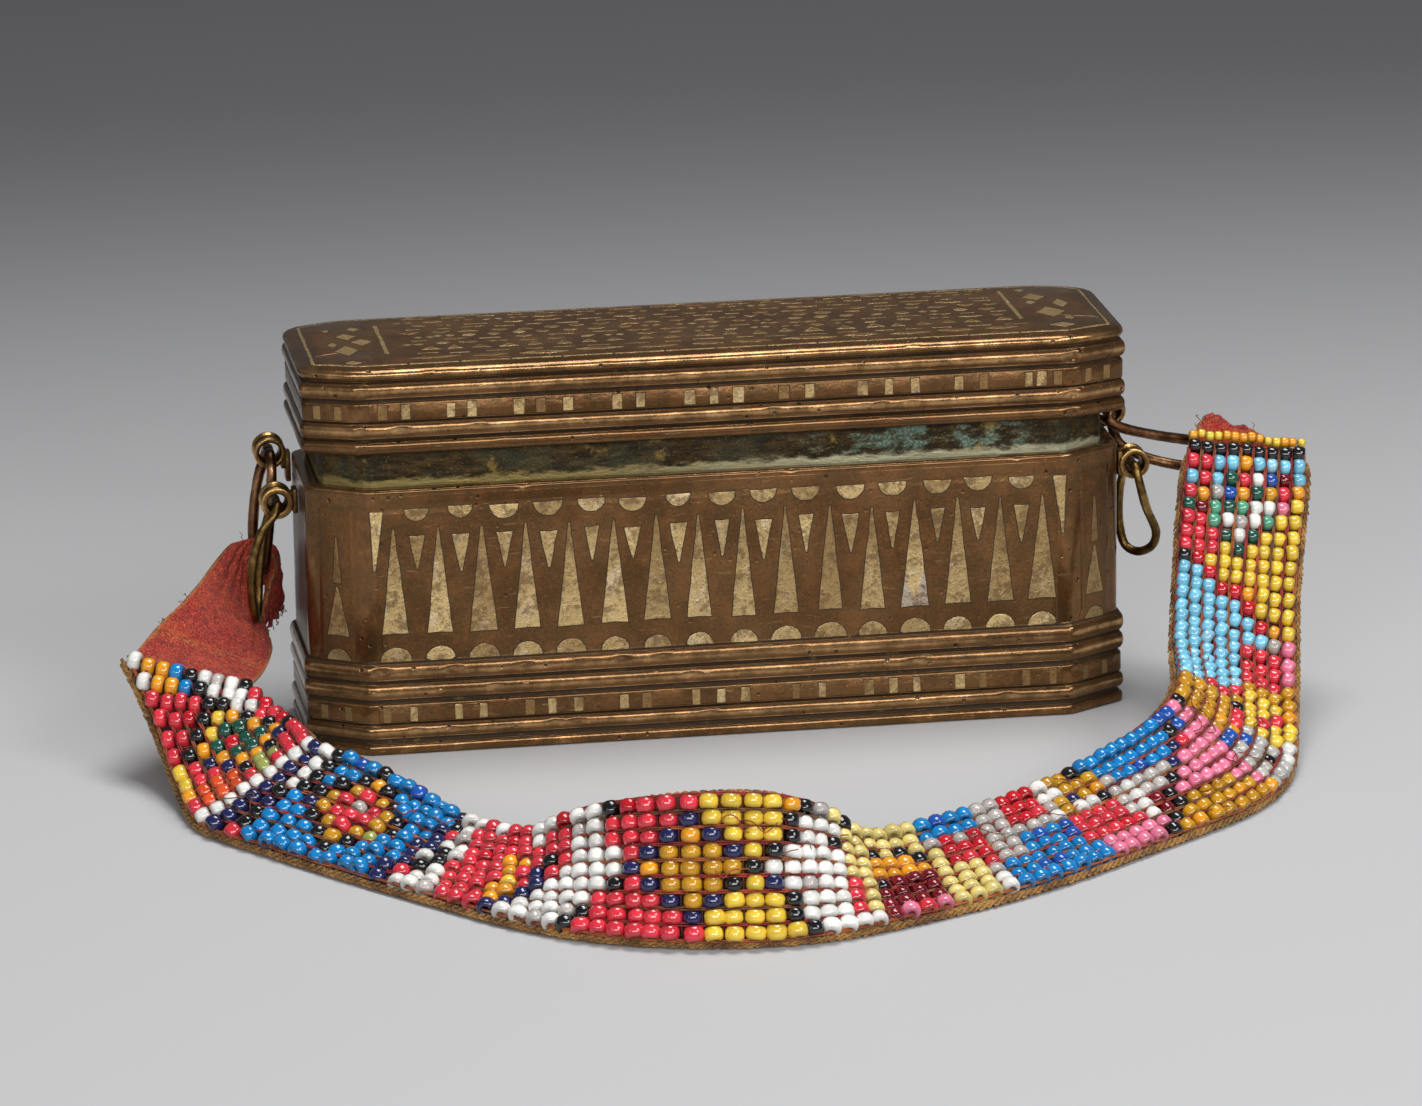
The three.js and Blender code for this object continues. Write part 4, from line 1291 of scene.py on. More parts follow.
def instance_tree(name, shape, material, jitter):
    """A tree with named inputs, and the values that its inputs have."""
    tree = bpy.data.node_groups.new(name, "GeometryNodeTree")
    tree.interface.new_socket("Geometry", in_out="INPUT", socket_type="NodeSocketGeometry")
    values = {}
    for size, kind, value in (
        ("Size", "NodeSocketFloat", 1.0), ("Jitter", "NodeSocketFloat", jitter * MM),
        ("Seed", "NodeSocketInt", 7),
    ):
        socket = tree.interface.new_socket(size, in_out="INPUT", socket_type=kind)
        socket.default_value = value
        values[socket.identifier] = value
    tree.interface.new_socket("Geometry", in_out="OUTPUT", socket_type="NodeSocketGeometry")
    sizes = tree.nodes.new("NodeGroupInput").outputs

    def add(kind, settings=None, output=0, **inputs):
        return new_node(tree, kind, settings, **inputs).outputs[output]

    def carried(name):
        return add("GeometryNodeInputNamedAttribute", {"data_type": "FLOAT_VECTOR"}, Name=name)

    def scaled_by(vector, factor):
        return add("ShaderNodeVectorMath", {"operation": "SCALE"}, i0=vector, Scale=factor)

    anywhere = add(
        "FunctionNodeRandomValue", {"data_type": "FLOAT_VECTOR"}, i0=(-1, -1, -1), i1=(1, 1, 1),
        Seed=sizes["Seed"],
    )
    moved = add(
        "GeometryNodeSetPosition", Geometry=sizes["Geometry"], Offset=scaled_by(anywhere, sizes["Jitter"]),
    )
    copies = add(
        "GeometryNodeInstanceOnPoints", Points=moved,
        Instance=add("GeometryNodeObjectInfo", output="Geometry", i0=shape),
        Rotation=add("FunctionNodeEulerToRotation", Euler=carried("turn")),
        Scale=scaled_by(carried("stretch"), sizes["Size"]),
    )
    real = add("GeometryNodeRealizeInstances", Geometry=copies)
    smooth = add("GeometryNodeSetShadeSmooth", Geometry=real, Shade_Smooth=True)
    coloured = add("GeometryNodeSetMaterial", Geometry=smooth, Material=material)
    tree.links.new(coloured, tree.nodes.new("NodeGroupOutput").inputs[0])
    return tree, values


def grown_copies(name, shape, material, jitter, copies, **on_shape):
    """A plain mesh of copies of a shape. A copy is a place, a turn, a stretch and a tint."""
    points, faces = shape
    template = piece_from(
        name + "_template", np.array(points) / MM, faces, material, outward=True, **on_shape,
    )
    places, turns, stretches, tints = (np.array(values, float) for values in zip(*copies))
    bare = bpy.data.meshes.new(name + "_points")
    bare.from_pydata((places * MM).tolist(), [], [])
    carry(bare, {"turn": turns, "stretch": stretches, "tint": tints})
    cloud = linked(name + "_points", bare)
    modifier = cloud.modifiers.new("grow", "NODES")
    modifier.node_group, values = instance_tree(name, template, material, jitter)
    for identifier, value in values.items():
        modifier[identifier] = value
    piece = linked(name, evaluated_mesh(cloud))
    for spent in (cloud, template):
        bpy.data.objects.remove(spent)
    return piece


# Beads: short barrels threaded across the strap, in a pattern of motifs

WHITE = (0.86, 0.84, 0.79)
BLACK = (0.006, 0.006, 0.008)
NAVY = (0.012, 0.016, 0.085)
COBALT = (0.010, 0.085, 0.40)
BLUE = (0.002, 0.22, 0.56)
SKY = (0.20, 0.56, 0.76)
GREEN = (0.008, 0.085, 0.055)
MINT = (0.09, 0.36, 0.22)
OLIVE = (0.33, 0.36, 0.09)
YELLOW = (0.84, 0.56, 0.045)
PALE_YELLOW = (0.80, 0.64, 0.20)
GOLD = (0.84, 0.34, 0.012)
PALE_SKY = (0.30, 0.58, 0.72)
FLAME = (0.75, 0.085, 0.015)
CORAL = (0.74, 0.034, 0.055)
RED = (0.58, 0.008, 0.020)
WINE = (0.30, 0.006, 0.018)
PINK = (0.86, 0.21, 0.34)
OPAL = (0.80, 0.73, 0.67)
AMBER = (0.95, 0.47, 0.020)
CLEAR = (0.80, 0.78, 0.72)
SEE_THROUGH = (AMBER, CLEAR, WINE, OPAL)

# A few beads have another colour than their motif: which one, and what share of them
SWAPS = {
    CORAL: RED, RED: CORAL, BLUE: COBALT, WHITE: OPAL, BLACK: NAVY, NAVY: BLACK, GOLD: YELLOW, YELLOW: GOLD,
    SKY: PALE_SKY, AMBER: GOLD, PINK: CORAL, WINE: RED,
}
SWAP_SHARE = 0.07


class Pattern:
    """The colours of the beads, painted motif over motif. Column 0 is at the outer edge, 8 at the inner."""

    def __init__(self, rows):
        self.rows = rows
        self.colours = {}

    def bands(self, *bands):
        """Each band is a colour, its first and its last row, and its first and last column if it hasn't all.
        A row may be one number, or two: at the outer and at the inner edge."""
        for colour, first, last, *columns in bands:
            first, last = (edge if isinstance(edge, tuple) else (edge, edge) for edge in (first, last))
            outer, inner = columns or (0, BEAD_COLUMNS - 1)
            for column in range(outer, inner + 1):
                share = column / (BEAD_COLUMNS - 1)
                low = first[0] + (first[1] - first[0]) * share
                high = last[0] + (last[1] - last[0]) * share
                for row in range(max(0, math.ceil(low)), min(self.rows - 1, math.floor(high)) + 1):
                    self.colours[row, column] = colour

    def diamond(self, row, column, *rings):
        """Rings round a bead, the innermost last: each a colour and how far it reaches."""
        for colour, reach in rings:
            for r in range(self.rows):
                for c in range(BEAD_COLUMNS):
                    if abs(r - row) + abs(c - column) <= reach:
                        self.colours[r, c] = colour

    def dots(self, colour, *places):
        for place in places:
            self.colours[place] = colour

    def wedge(self, row, column, before, edge, after, end):
        """A zigzag edge that opens from one bead: a colour before it, along it and after it."""
        for c in range(BEAD_COLUMNS):
            turn = round(row + 0.7 * abs(c - column))
            for r in range(int(row) - 2, end + 1):
                if r >= turn or (r, c) not in self.colours:
                    self.colours[r, c] = before if r < turn else edge if r == turn else after


def bead_pattern(rows, draw):
    """From the seam at the left, along the front, up to the seam at the right."""
    p = Pattern(rows)
    # Seam rows, then a green and gold diamond on coral
    p.bands(
        (CORAL, 0, 12), (WHITE, 0, 1, 0, 0), (GOLD, 0, (2, 1), 1, 2), (BLUE, 0, 1, 3, 3), (BLACK, 0, 1, 4, 4),
        (WHITE, 0, 2, 5, 7), (BLACK, 0, 0, 8, 8),
    )
    p.diamond(5, 4.3, (BLACK, 4.1), (GOLD, 3.2), (GREEN, 2.0))
    p.dots(WINE, (5, 4))
    p.bands((FLAME, 8, 9, 1, 3), (YELLOW, 6, 8, 0, 0))
    p.dots(OLIVE, (8, 5), (8, 6), (9, 5))
    # White and navy slants, then a coral and amber diamond on blue
    p.bands(
        (BLUE, 13, (22, 25)), (WHITE, 10, 10), (NAVY, 11, 11), (WHITE, 12, 12, 5, 8), (BLACK, 12, 12, 1, 4),
        (BLACK, 13, 13, 5, 8),
    )
    p.diamond(17, 4.6, (BLACK, 4.0), (AMBER, 3.1), (CORAL, 2.1), (OPAL, 0.5))
    p.dots(OLIVE, (19, 3))
    # A slant of navy and white, a coral triangle with a gold foot, a white wedge
    p.bands(
        (CORAL, 22, 40), (BLUE, 22, (21, 24)), (NAVY, (20.3, 23.6), (21.5, 24.8)),
        (WHITE, (21.6, 24.9), (24.0, 26.2)), (BLACK, (22.2, 25.4), (22.8, 26.0), 2, 4),
        (GOLD, (27.0, 30.2), (28.2, 31.4), 1, 5), (NAVY, (28.0, 33.6), (28.9, 34.5), 0, 5),
        (WHITE, (29.0, 35.5), (32.9, 39.5), 0, 4), (WHITE, (34.5, 33.2), (37.2, 35.4), 5, 8),
    )
    p.dots(WHITE, (28, 8), (31, 8), (32, 8), (31, 7))
    p.dots(BLACK, (33, 0), (34, 1), (32, 5), (36, 3), (36, 8))
    # The middle: an amber diamond between coral and yellow, then a black zigzag into white
    p.bands((YELLOW, 41, 46))
    p.diamond(40, 4, (NAVY, 3.2), (AMBER, 2.2))
    for row in range(43, 47):
        for column in range(BEAD_COLUMNS):
            p.colours.pop((row, column), None)
    p.wedge(43.3, 4, YELLOW, BLACK, WHITE, 48)
    # Pale yellow with gold and wine red
    p.bands(
        (PALE_YELLOW, (50, 48), 57), (WINE, (50, 53), (54, 55), 0, 3), (PINK, 52, 54, 0, 0),
        (GOLD, 51, 54, 4, 5),
    )
    p.dots(BLACK, (48, 6), (49, 8), (51, 6), (51, 3), (53, 6), (54, 5))
    p.dots(WHITE, (49, 0), (50, 0))
    # Red, opal and blue
    p.bands((RED, 56, (56, 60), 4, 6), (BLUE, 55, 59, 7, 8))
    p.dots(OPAL, (55, 6), (57, 6))
    p.bands(
        (OPAL, (57.5, 59), 64), (WHITE, 58, 58, 0, 2), (RED, 61, 63, 6, 8), (BLUE, 59, 65, 0, 2),
        (BLUE, 61, 64, 3, 4), (WHITE, 64, 64, 5, 8),
        # Amber, coral and white, opal and wine
        (CORAL, 65, 69, 2, 4), (PINK, 66, 70, 0, 1), (AMBER, 65, 68, 5, 8),
    )
    p.dots(BLACK, (66, 6), (68, 5), (67, 8), (69, 7))
    p.dots(WHITE, (66, 5), (67, 5), (69, 4), (70, 4), (65, 7))
    p.bands(
        (OPAL, 69, 76, 3, 7), (WHITE, 70, 70, 2, 5), (WINE, 71, 74, 0, 3), (BLUE, (73, 68), (74, 79), 6, 8),
        (COBALT, 76, 78, 7, 8),
        # Pink between amber corners, glass-clear beads at the fold
        (PINK, (70, 77.0), 79, 0, 6), (PINK, 78, 79, 7, 8), (AMBER, (70.5, 78), (78.5, 72), 0, 2),
        (BLACK, (69.3, 76.4), (70.2, 77.4), 0, 7), (CLEAR, 79, 82, 0, 3), (YELLOW, 83, 86, 0, 3),
        (AMBER, 80, (86, 84), 4, 8),
    )
    p.dots(COBALT, (79, 4), (80, 4), (81, 3))
    p.dots(CORAL, (82, 4), (83, 4), (84, 2), (85, 1), (86, 4))
    p.dots(BLACK, (81, 1), (84, 4), (79, 8))
    p.dots(WHITE, (82, 0), (83, 0))
    # Amber, then a pale blue and a yellow triangle that meet in a red slant
    p.bands(
        (AMBER, 87, 89, 0, 3), (YELLOW, 90, 100), (SKY, (89, 84), (90.2, 96.0)), (SKY, 87, 90, 4, 6),
        (RED, (90.3, 96.1), (91.2, 97.0)), (CORAL, 88, 90, 1, 3), (PINK, 89, 91, 0, 0),
    )
    p.dots(OPAL, (91, 1))
    # A white arrowhead in a mixed band at the end
    mixed = (GREEN, COBALT, MINT, CORAL, PINK, OPAL, SKY, GOLD, WINE, WHITE, AMBER, SKY)
    for row in range(100, 103):
        for column in range(BEAD_COLUMNS):
            p.dots(draw.choice(mixed), (row, column))
    p.bands((SKY, 103, 103, 0, 6))
    p.dots(GOLD, (103, 4), (101, 4))
    p.bands((CORAL, 97, 99, 6, 8), (YELLOW, 100, 100, 0, 0))
    p.dots(MINT, (99, 6), (99, 2), (100, 4), (100, 6))
    p.bands((WHITE, 99, 99, 3, 5), (WHITE, 100, 100, 2, 3))
    p.dots(GREEN, (98, 5), (98, 3), (97, 4), (100, 5))
    p.dots(WHITE, (98, 4))
    p.dots(BLACK, (96, 8))
    p.bands((BLACK, rows - 1, rows - 1))
    for place, colour in p.colours.items():
        if colour in SWAPS and draw.random() < SWAP_SHARE:
            p.colours[place] = SWAPS[colour]
    return p.colours


BEAD_SIDES = 12
# A bead of unit diameter and unit length: radius and place along its hole
BEAD_PROFILE = (
    (0.17, -0.40), (0.28, -0.50), (0.42, -0.43), (0.5, -0.20), (0.5, 0.20), (0.42, 0.43), (0.28, 0.50),
    (0.17, 0.40),
)
SEAM_BEADS = 14
# Folds, where the beads lie looser: the row, how many rows round it, how much looser
FOLDS = ((20, 7, 1.5), (82, 5, 0.8))


def make_beads():
    draw = random.Random(5)
    colours = bead_pattern(ROWS, draw)
    groups = {"glass_beads": [], "clear_beads": []}
    for row, distance in enumerate(ROW_MIDDLES):
        along = strap.point(min(distance + 1, strap.length), 0.5) - strap.point(max(distance - 1, 0), 0.5)
        across = unit(strap.at(strap.across, distance))
        width = np.linalg.norm(strap.at(strap.end, distance) - strap.at(strap.start, distance))
        length = width * COLUMN_SPREAD / BEAD_COLUMNS
        slip = draw.uniform(-0.15, 0.15)
        diameter = BEAD_FILL * np.interp(distance, PITCH_PLACES, ROW_PITCHES)
        loose = 1
        for middle, reach, more in FOLDS:
            loose = loose + more * math.exp(-(((row - middle) / reach) ** 2))
        # The rows at the ends reach a little over the seams
        slip += END_OVERLAP * ((row > ROWS - 8) * (row - ROWS + 8) / 7 - (row < 4) * (4 - row) / 4)
        for column in range(BEAD_COLUMNS):
            lift = 0.25 + 0.5 * max(0, abs(column - 4) - 3)
            wave = draw.uniform(-0.18, 0.18) * loose
            share = spread_share((column + 0.5) / BEAD_COLUMNS)
            place = strap.point(distance + slip + wave, share, lift + draw.uniform(-0.2, 0.25) * loose)
            place[2] = max(place[2], diameter / 2 - 0.05)
            x_axis = unit(across + spread(draw, 0.14, 3) * loose)
            z_axis = unit(np.cross(x_axis, along))
            colour = colours.get((row, column), CORAL)
            size = diameter * draw.uniform(0.92, 1.08)
            shade = draw.uniform(0.85, 1.12)
            groups["clear_beads" if colour in SEE_THROUGH else "glass_beads"].append((
                place, euler_of(x_axis, np.cross(z_axis, x_axis), z_axis),
                (length * draw.uniform(0.87, 1.00) * MM, size * MM, size * MM),
                tuple(min(1.0, c * shade) for c in colour),
            ))
    across, up = unit(strap.across[-1]), unit(strap.normal[-1])
    for k in range(SEAM_BEADS):
        beyond = strap.length + 1.9 + draw.uniform(-0.3, 0.3)
        place = strap.point(beyond, spread_share((k + 0.5) / SEAM_BEADS), draw.uniform(0.3, 0.7))
        size = draw.uniform(1.35, 1.6) * MM
        groups["glass_beads"].append((
            place, euler_of(across, np.cross(up, across), up), (size, size * 1.1, size * 1.1),
            draw.choice((GOLD, YELLOW)),
        ))
    points = [(x, r * math.cos(t), r * math.sin(t)) for r, x in BEAD_PROFILE for t in turns_round(BEAD_SIDES)]
    shape = points, ring_faces(len(BEAD_PROFILE), BEAD_SIDES, closed=True)
    # Painted shade: how dark each point of a bead is toward its ends
    near_hole = [min(1.0, max(0.0, (abs(x) - 0.2) / 0.28)) ** 2 for x, _, _ in points]
    for name, material, stands_for in (
        ("glass_beads", BEAD_GLASS, ["strap_beadwork"]), ("clear_beads", CLEAR_GLASS, []),
    ):
        piece = grown_copies(name, shape, material, 0.06, groups[name], near_hole=near_hole)
        finished(piece, "box", "glass_beads", *stands_for)


# Threads of the strap

WARP_TINTS = (
    (0.46, 0.040, 0.022), (0.50, 0.120, 0.025), (0.42, 0.026, 0.020), (0.30, 0.095, 0.030),
    (0.52, 0.070, 0.022), (0.44, 0.030, 0.020), (0.54, 0.150, 0.030), (0.38, 0.028, 0.018),
    (0.46, 0.095, 0.028), (0.30, 0.110, 0.035),
)
WARP_RADIUS, CROSSING_RADIUS, LOOSE_RADIUS = 0.155, 0.13, 0.09
WARP_HEIGHT, CROSSING_HEIGHT = 0.82, 0.42
WARPS_INWARD = 0.985
WEB_TOP, WEB_BOTTOM = -0.05, -0.3
CROSSING_TINT = (0.20, 0.05, 0.02)
# How dark the web is against its warp tints: painted shade in the gaps between the beads
WEB_PAINTED_SHADE = 0.22
LOOSE_THREADS = 26


class Strands:
    """Tubes of thread in many colours, gathered into one piece."""

    def __init__(self):
        self.parts, self.tints = [], []

    def add(self, line, radius, sides, tint):
        points, faces = tube(line, radius, sides)
        self.parts.append((points, faces))
        self.tints += [tint] * len(points)

    def made(self, name, slot):
        finished(piece_from(name, *joined(self.parts), WARP_THREAD, tint=self.tints), "box", slot)


def make_warps():
    """Threads along the strap between the columns, on both faces, the ones that cross between rows, and
    loose ones that lie over the beads."""
    strands = Strands()
    distances = np.linspace(0.2, strap.length - 0.2, 420)
    draw = random.Random(12)
    for k in range(BEAD_COLUMNS + 1):
        for face in (-1, 1):
            for strand in (-0.16, 0.16):
                seed = draw.uniform(0, 50)
                sway, lift = (
                    np.array([noise.noise(Vector((d * rate, seed, other))) for d in distances])
                    for rate, other in ((0.3, 0), (0.25, 9))
                )
                aside = (strand + 0.16 * sway) / STRAP_WIDTH
                share = 0.5 + (k / BEAD_COLUMNS - 0.5) * COLUMN_SPREAD * WARPS_INWARD + aside
                line = strap.point(distances, share, 0.15 + face * (WARP_HEIGHT + 0.22 * lift))
                strands.add(line, WARP_RADIUS, 5, WARP_TINTS[(k + (face > 0)) % len(WARP_TINTS)])
    shares = np.linspace(0, 1, 12)
    for edge in ROW_EDGES:
        distance = np.full(12, min(max(edge, 0.3), strap.length - 0.3))
        for face in (-1, 1):
            line = strap.point(distance, shares, face * (CROSSING_HEIGHT + 0.1 * np.cos(shares * 56)))
            strands.add(line, CROSSING_RADIUS, 4, CROSSING_TINT)
    for face in (-1, 1):
        for k in range(LOOSE_THREADS):
            start = draw.uniform(0.05, 0.85) * strap.length if k else 70.0
            shares = np.clip(np.cumsum([draw.uniform(0.1, 0.9), *spread(draw, 0.1, 5)]), 0, 1)
            reach = start + np.cumsum([0] + [draw.uniform(0.8, 2.6) for _ in range(5)])
            heights = face * np.array([0.9, 1.6, 1.9, 1.75, 1.6, 0.8])
            line = strap.point(np.clip(reach, 0, strap.length), shares, 0.2 + heights)
            strands.add(even_points(line, 0.6), LOOSE_RADIUS, 4, draw.choice(WARP_TINTS))
    strands.made("strap_threads", "red_cloth")


def make_web():
    """The close thread ground that shows in the gaps between the beads, darkened as painted shade in the
    gaps.
    """
    shares = np.linspace(-0.03, 1.03, 10)
    rings = []
    for distance in np.linspace(0.1, strap.length - 0.1, 260):
        over, under = (strap.point(np.full(10, distance), shares, height) for height in (WEB_TOP, WEB_BOTTOM))
        rings.append(np.vstack([over, under[::-1]]))
    points = np.vstack(rings)
    # Painted shade: the web's tints darkened
    tints = np.array([WARP_TINTS[k % 3] for k in range(len(points))]) * WEB_PAINTED_SHADE
    web = piece_from("strap_web", points, ring_faces(len(rings), 20), WARP_THREAD, outward=True, tint=tints)
    finished(web, "box", "red_cloth")


STITCH_PITCH = 1.45
STITCH_LENGTH = STITCH_PITCH * 1.4
STITCH_LEAN = 0.5
# Shares of a cord's radius: how thick a stitch is, how far out it lies, how thick the core is
STITCH_FAT, STITCH_OUT, CORE = 2.8, 0.52, 0.62
STITCH_THICKNESS = 0.17 * np.array([0.45, 0.85, 1.0, 1.05, 1.0, 0.85, 0.45])


def make_edge(name, edge, inward, radius, node):
    """A chain-stitched cord: a core with rows of slanting stitches that meet in chevrons."""
    line = even_points(edge[:: len(edge) // 80], STITCH_PITCH)
    line[:, 2] = np.maximum(line[:, 2], radius * 1.6 + 0.1)
    along = tangents(line)
    side = unit(read_line(np.linspace(0, 1, len(line)), np.linspace(0, 1, len(inward)), inward))
    up = unit(np.cross(along, side))
    side = np.cross(up, along)
    stitches = []
    draw = random.Random(len(name))
    for k in range(1, len(line) - 1):
        for row in range(4):
            angle = math.pi / 2 * row + math.pi / 4
            out = side[k] * math.cos(angle) + up[k] * math.sin(angle)
            lean = STITCH_LEAN if row % 2 else -STITCH_LEAN
            direction = unit(along[k] * math.cos(lean) + np.cross(out, along[k]) * math.sin(lean))
            direction = unit(direction + spread(draw, 0.12, 3))
            z_axis = unit(out - direction * np.dot(out, direction))
            place = line[k] + out * radius * STITCH_OUT + along[k] * (0.5 * STITCH_PITCH * (row % 2))
            length = STITCH_LENGTH * draw.uniform(0.9, 1.15)
            fat = radius * STITCH_FAT * draw.uniform(0.85, 1.15)
            turn = euler_of(direction, np.cross(z_axis, direction), z_axis)
            stitches.append((place, turn, (length * MM, fat * MM, fat * MM), (1, 1, 1)))
    # A stitch is a fat, slightly bent strand, one unit long along X
    shares = np.linspace(0, 1, len(STITCH_THICKNESS))
    bent = [(s - 0.5, 0.10 * math.sin(math.pi * s), 0.12 * math.sin(math.pi * s)) for s in shares]
    piece = grown_copies(name, tube(bent, STITCH_THICKNESS, 8), EDGE_THREAD, 0.05, stitches)
    finished(piece, "box", "edge_thread", node)
    finished(piece_from(name + "_core", *tube(line, radius * CORE, 8), EDGE_THREAD), "box", "edge_thread")


make_beads()
make_warps()
make_web()
make_edge(
    "edge_outer", strap.outer - strap.across * 0.15 - strap.normal * 0.3, strap.across, OUTER_CORD * 0.54,
    "strap_cord_outer",
)
make_edge(
    "edge_inner", strap.inner + strap.across * 0.1 - strap.normal * 0.9, -strap.across, INNER_CORD * 0.66,
    "strap_cord_inner",
)


# Cloth tabs: gathered where they wrap a wire loop, wide where they are sewn to the strap

TABS = {
    "left": {
        "stations": (
            ((-71.6, 13.0, 16.0), (-76.2, 5.4, 14.0)), ((-71.5, 13.0, 22.0), (-75.4, 6.0, 20.6)),
            ((-72.8, 12.5, 28.4), (-73.4, 7.6, 27.6)), ((-75.8, 12.3, 30.2), (-75.6, 7.8, 29.2)),
            ((-79.4, 11.4, 30.4), (-77.2, 7.0, 24.6)), ((-83.4, 6.8, 28.4), (-76.0, 4.0, 18.6)),
            ((-88.4, -2.0, 25.6), (-75.4, -4.5, 16.0)), ((-94.9, -11.0, 22.6), (-77.4, -13.5, 14.8)),
        ),
        "strap_end": 0, "sleeve": (-75.7, 10, 26.15), "axis": (-0.18, 1, 0), "length": 3.4,
        "loop": "wire_upper_left", "flat_width": 0.022, "wire_at": 0.36, "ragged": 0.05, "hem_side": 1,
    },
    "right": {
        "stations": (
            ((91.2, -0.8, 43.8), (88.4, -1.4, 46.4)), ((94.0, -3.4, 44.4), (86.8, -3.4, 47.6)),
            ((98.2, -6.6, 43.0), (85.0, -5.4, 46.4)),
        ),
        "strap_end": -1, "sleeve": (89.7, -0.4, 41.9), "axis": (1, 0.17, -0.21), "length": 3.8,
        "loop": "wire_upper_right", "flat_width": 0.0105, "wire_at": 0.0, "ragged": 0.0, "hem_side": 0,
    },
}
CLOTH_THICKNESS = 0.6
CLOTH_STEPS = 96
CLOTH_COLUMNS = 72
HEM_AT = 0.87
FINE_STEPS = 400
SELVEDGE_TINT = (0.34, 0.15, 0.045)
YARN_TINTS = (0.55, 0.30, 0.08), (0.50, 0.05, 0.03), (0.16, 0.03, 0.02)
# The cloth wound round the wire: radius, and share of the winding's length
WRAP_PROFILE = (
    (2.1, -0.5), (2.5, -0.56), (3.0, -0.42), (3.2, -0.2), (3.2, 0.2), (3.0, 0.42), (2.5, 0.56), (2.1, 0.5),
)
WRAP_SIDES = 48


def cloth_surface(stations, tab):
    """Points of the sheet row by row, and what they carry: how far along and across, how near an edge."""
    edge_a, edge_b = edge_lines(stations, FINE_STEPS)
    across = unit(edge_b - edge_a)
    normal = unit(np.cross(across, tangents(edge_a) + tangents(edge_b)))
    width = np.linalg.norm(edge_b - edge_a, axis=1)
    run = run_along((edge_a + edge_b) / 2)
    last = FINE_STEPS - 1
    points, ways, spans, borders = [], [], [], []
    for k in range(CLOTH_STEPS):
        for v in np.linspace(0, 1, CLOTH_COLUMNS):
            rag = 0.9 + noise.noise(Vector((v * 9, 2, 0))) + 0.5 * noise.noise(Vector((v * 31, 5, 0)))
            start = tab["ragged"] * rag
            u = start + (1 - start) * k / (CLOTH_STEPS - 1)
            place = min(int(u * last), last)
            gather = math.exp(-(((u - tab["wire_at"]) / 0.27) ** 2))
            fold = 0.50 * gather * math.sin(2 * math.pi * (5.5 * v + 0.3 * math.sin(5 * u)))
            slack = math.sin(math.pi * min(1, u * 1.02)) ** 2
            fold += 0.55 * math.sin(2 * math.pi * (1.3 * v + 0.9 * u)) * slack
            hem = 0.4 / (1 + math.exp(-(u - HEM_AT) * 160))
            point = edge_a[place] + across[place] * width[place] * v
            if place < last:
                share = u * last - place
                point = point + (edge_a[place + 1] - edge_a[place]) * share * (1 - v)
                point = point + (edge_b[place + 1] - edge_b[place]) * share * v
            crumple = 0.34 * noise_at(point, 0.4) + 0.2 * noise_at(point, 1.1)
            crumple += 0.10 * noise_at(point, 3.0)
            points.append(point + normal[place] * (fold + crumple + hem * tab["hem_side"]))
            ways.append(run[place])
            spans.append(v * STRAP_WIDTH)
            borders.append(max(0.0, 1 - 14 * min(v, 1 - v), 1 - 16 * (1 - u), 0.8 - 60 * abs(u - HEM_AT)))
    return np.array(points), {"along": ways, "across": spans, "border": borders}


def make_tab(side, tab):
    end = tab["strap_end"]
    along = unit(tangents(strap.outer)[end] + tangents(strap.inner)[end]) * (-1 if end == 0 else 1)
    seam = (strap.start[end] + along * 0.4, strap.end[end] + along * 0.4)
    points, carried = cloth_surface([*tab["stations"], seam], tab)
    starts = [row * CLOTH_COLUMNS + k for row in range(CLOTH_STEPS - 1) for k in range(CLOTH_COLUMNS - 1)]
    faces = [(a, a + 1, a + CLOTH_COLUMNS + 1, a + CLOTH_COLUMNS) for a in starts]
    sheet = piece_from(f"cloth_{side}", points, faces, RED_CLOTH, **carried)
    solid = sheet.modifiers.new("thickness", "SOLIDIFY")
    solid.thickness = CLOTH_THICKNESS * MM
    solid.offset = 0
    mesh = evaluated_mesh(sheet)
    sheet.modifiers.clear()
    sheet.data = mesh
    finished(sheet, "box", "red_cloth", f"cloth_tab_{side}")
    make_cloth_wrap(side, tab)
    make_cloth_yarns(side, points.reshape(CLOTH_STEPS, CLOTH_COLUMNS, 3))


def make_cloth_wrap(side, tab):
    """The layers of cloth that are wound round the wire under the sheet."""
    axis = unit(np.array(tab["axis"], float))
    first = unit(np.cross(axis, [0.0, 0.0, 1.0]))
    second = np.cross(axis, first)
    turns = turns_round(WRAP_SIDES)
    points = []
    for radius, share in WRAP_PROFILE:
        for t in turns:
            out = first * math.cos(t) + second * math.sin(t)
            point = np.array(tab["sleeve"]) + axis * share * tab["length"] + out * radius
            ruck = 0.22 * math.sin(9 * t + 3 * share) * (radius - 2.0) / 1.35
            points.append(point + out * (ruck + 0.25 * (radius > 2.3) * noise_at(point, 0.8)))
    piece = piece_from(
        f"cloth_wrap_{side}", points, ring_faces(len(WRAP_PROFILE), WRAP_SIDES, closed=True), RED_CLOTH,
        outward=True, along=[radius for radius, _ in WRAP_PROFILE for _ in turns],
        across=[3 * t for _ in WRAP_PROFILE for t in turns], border=[0.0] * len(points),
    )
    finished(piece, "box", "red_cloth")


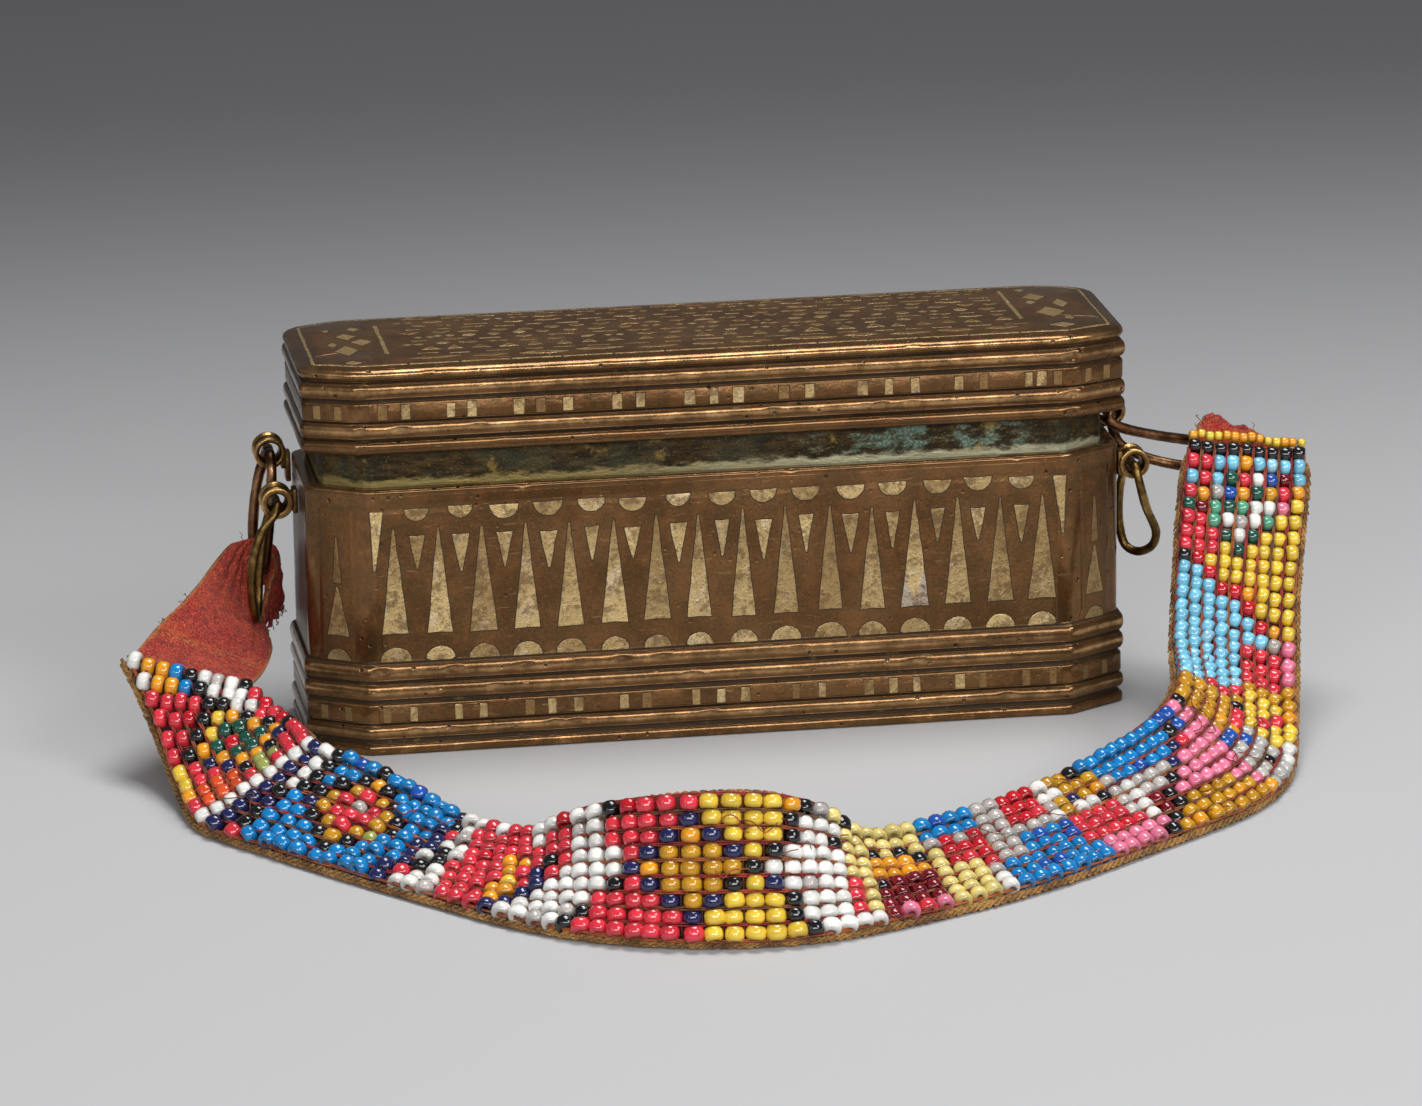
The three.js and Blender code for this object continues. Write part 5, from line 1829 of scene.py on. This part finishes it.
def make_cloth_yarns(side, grid):
    """The selvedge, the stitched hem and the loose ends of yarn of a tab."""
    draw = random.Random(3)
    strands = Strands()

    def strand(line, radius, tint):
        strands.add(even_points(line, 0.35), radius, 5, tint)

    for column in (0, CLOTH_COLUMNS - 1):
        line = grid[5::6, column]
        strand(line + spread(draw, 0.15, len(line), 3), 0.13, SELVEDGE_TINT)
    hem_row = grid[int(HEM_AT * CLOTH_STEPS)]
    for start in range(0, CLOTH_COLUMNS - 8, 6):
        strand(hem_row[start:start + 5:2] + np.array([0, -0.35, 0.22]), 0.12, YARN_TINTS[0])
    for _ in range(46):
        row = draw.choice((draw.randrange(0, 3), draw.randrange(0, CLOTH_STEPS)))
        column = draw.randrange(CLOTH_COLUMNS) if row < 3 else draw.choice((0, 1, CLOTH_COLUMNS - 1))
        start = grid[row, column]
        steps = spread(draw, 0.55, 4, 3) + np.array([0, -0.1, 0.1 if row > 3 else -0.35])
        strand(np.vstack([[start], start + np.cumsum(steps, axis=0)]), 0.07, draw.choice(YARN_TINTS))
    strands.made(f"cloth_yarns_{side}", "edge_thread")


for side, tab in TABS.items():
    make_tab(side, tab)


# Floor, lights and camera

FLOOR_SIZE = 6000
SKY_COLOUR = (0.42, 0.43, 0.45, 1)
SKY_STRENGTH = 0.28
# The floor is pale near the box and darker toward the back: painted shade
FLOOR_NEAR, FLOOR_FAR_PAINTED_SHADE = (0.53, 0.53, 0.535), (0.15, 0.15, 0.155)
# Soft lights: place, target, width, height and power, in metres and watts
LIGHTS = {
    "overhead": ((0.10, 0.03, 1.0), (0, -0.03, 0.03), 0.55, 0.4, 7.0),
    "front_panel": ((-0.05, -1.15, 0.48), (0, 0, 0.04), 1.3, 0.26, 8.0),
    "front_right": ((0.65, -0.85, 0.75), (0, 0, 0.03), 0.4, 0.4, 4.2),
    "front_left": ((-0.9, -0.65, 0.45), (0, 0, 0.03), 0.4, 0.5, 0.7),
}


def make_stage():
    finish = Finish("studio_floor", Roughness=0.75, Specular_IOR_Level=0.25)
    # Painted shade: the floor darker toward the back
    far = finish.steps(finish.axis("Y"), -0.04, 0.54)
    finish.surface(Base_Color=finish.mix(far, FLOOR_NEAR, FLOOR_FAR_PAINTED_SHADE))
    points = [(x * FLOOR_SIZE, y * FLOOR_SIZE, 0) for x, y in ((-1, -1), (1, -1), (1, 1), (-1, 1))]
    piece_from("floor", points, [(0, 1, 2, 3)], finish.material, smooth=False)
    world = bpy.data.worlds.new("studio")
    world.use_nodes = True
    background = world.node_tree.nodes["Background"]
    background.inputs["Color"].default_value = SKY_COLOUR
    background.inputs["Strength"].default_value = SKY_STRENGTH
    bpy.context.scene.world = world


def make_lights():
    for name, (place, target, width, height, power) in LIGHTS.items():
        light = bpy.data.lights.new(name, "AREA")
        light.shape = "RECTANGLE"
        light.size, light.size_y = width, height
        light.energy = power
        lamp = linked(name, light)
        lamp.location = place
        lamp.rotation_euler = (Vector(target) - Vector(place)).to_track_quat("-Z", "Y").to_euler()


def make_camera():
    back = Vector((
        math.sin(CAMERA_AZIMUTH) * math.cos(CAMERA_ELEVATION),
        -math.cos(CAMERA_AZIMUTH) * math.cos(CAMERA_ELEVATION),
        math.sin(CAMERA_ELEVATION),
    ))
    level = Vector((0, 0, 1)).cross(back).normalized()
    upright = back.cross(level)
    c, s = math.cos(CAMERA_ROLL), math.sin(CAMERA_ROLL)
    right = level * c + upright * s
    up = upright * c - level * s
    place = CAMERA_TARGET - right * CAMERA_OFF_AXIS[0] - up * CAMERA_OFF_AXIS[1] + back * CAMERA_DISTANCE
    lens_data = bpy.data.cameras.new("camera")
    lens_data.sensor_width = CAMERA_SENSOR
    lens_data.sensor_fit = "HORIZONTAL"
    lens_data.lens = CAMERA_LENS
    lens_data.clip_end = CAMERA_REACH
    camera = linked("camera", lens_data)
    camera.matrix_world = Matrix.Translation(place * MM) @ Matrix((right, up, back)).transposed().to_4x4()
    bpy.context.scene.camera = camera


make_stage()
make_lights()
make_camera()
bpy.context.scene.view_settings.view_transform = "Standard"
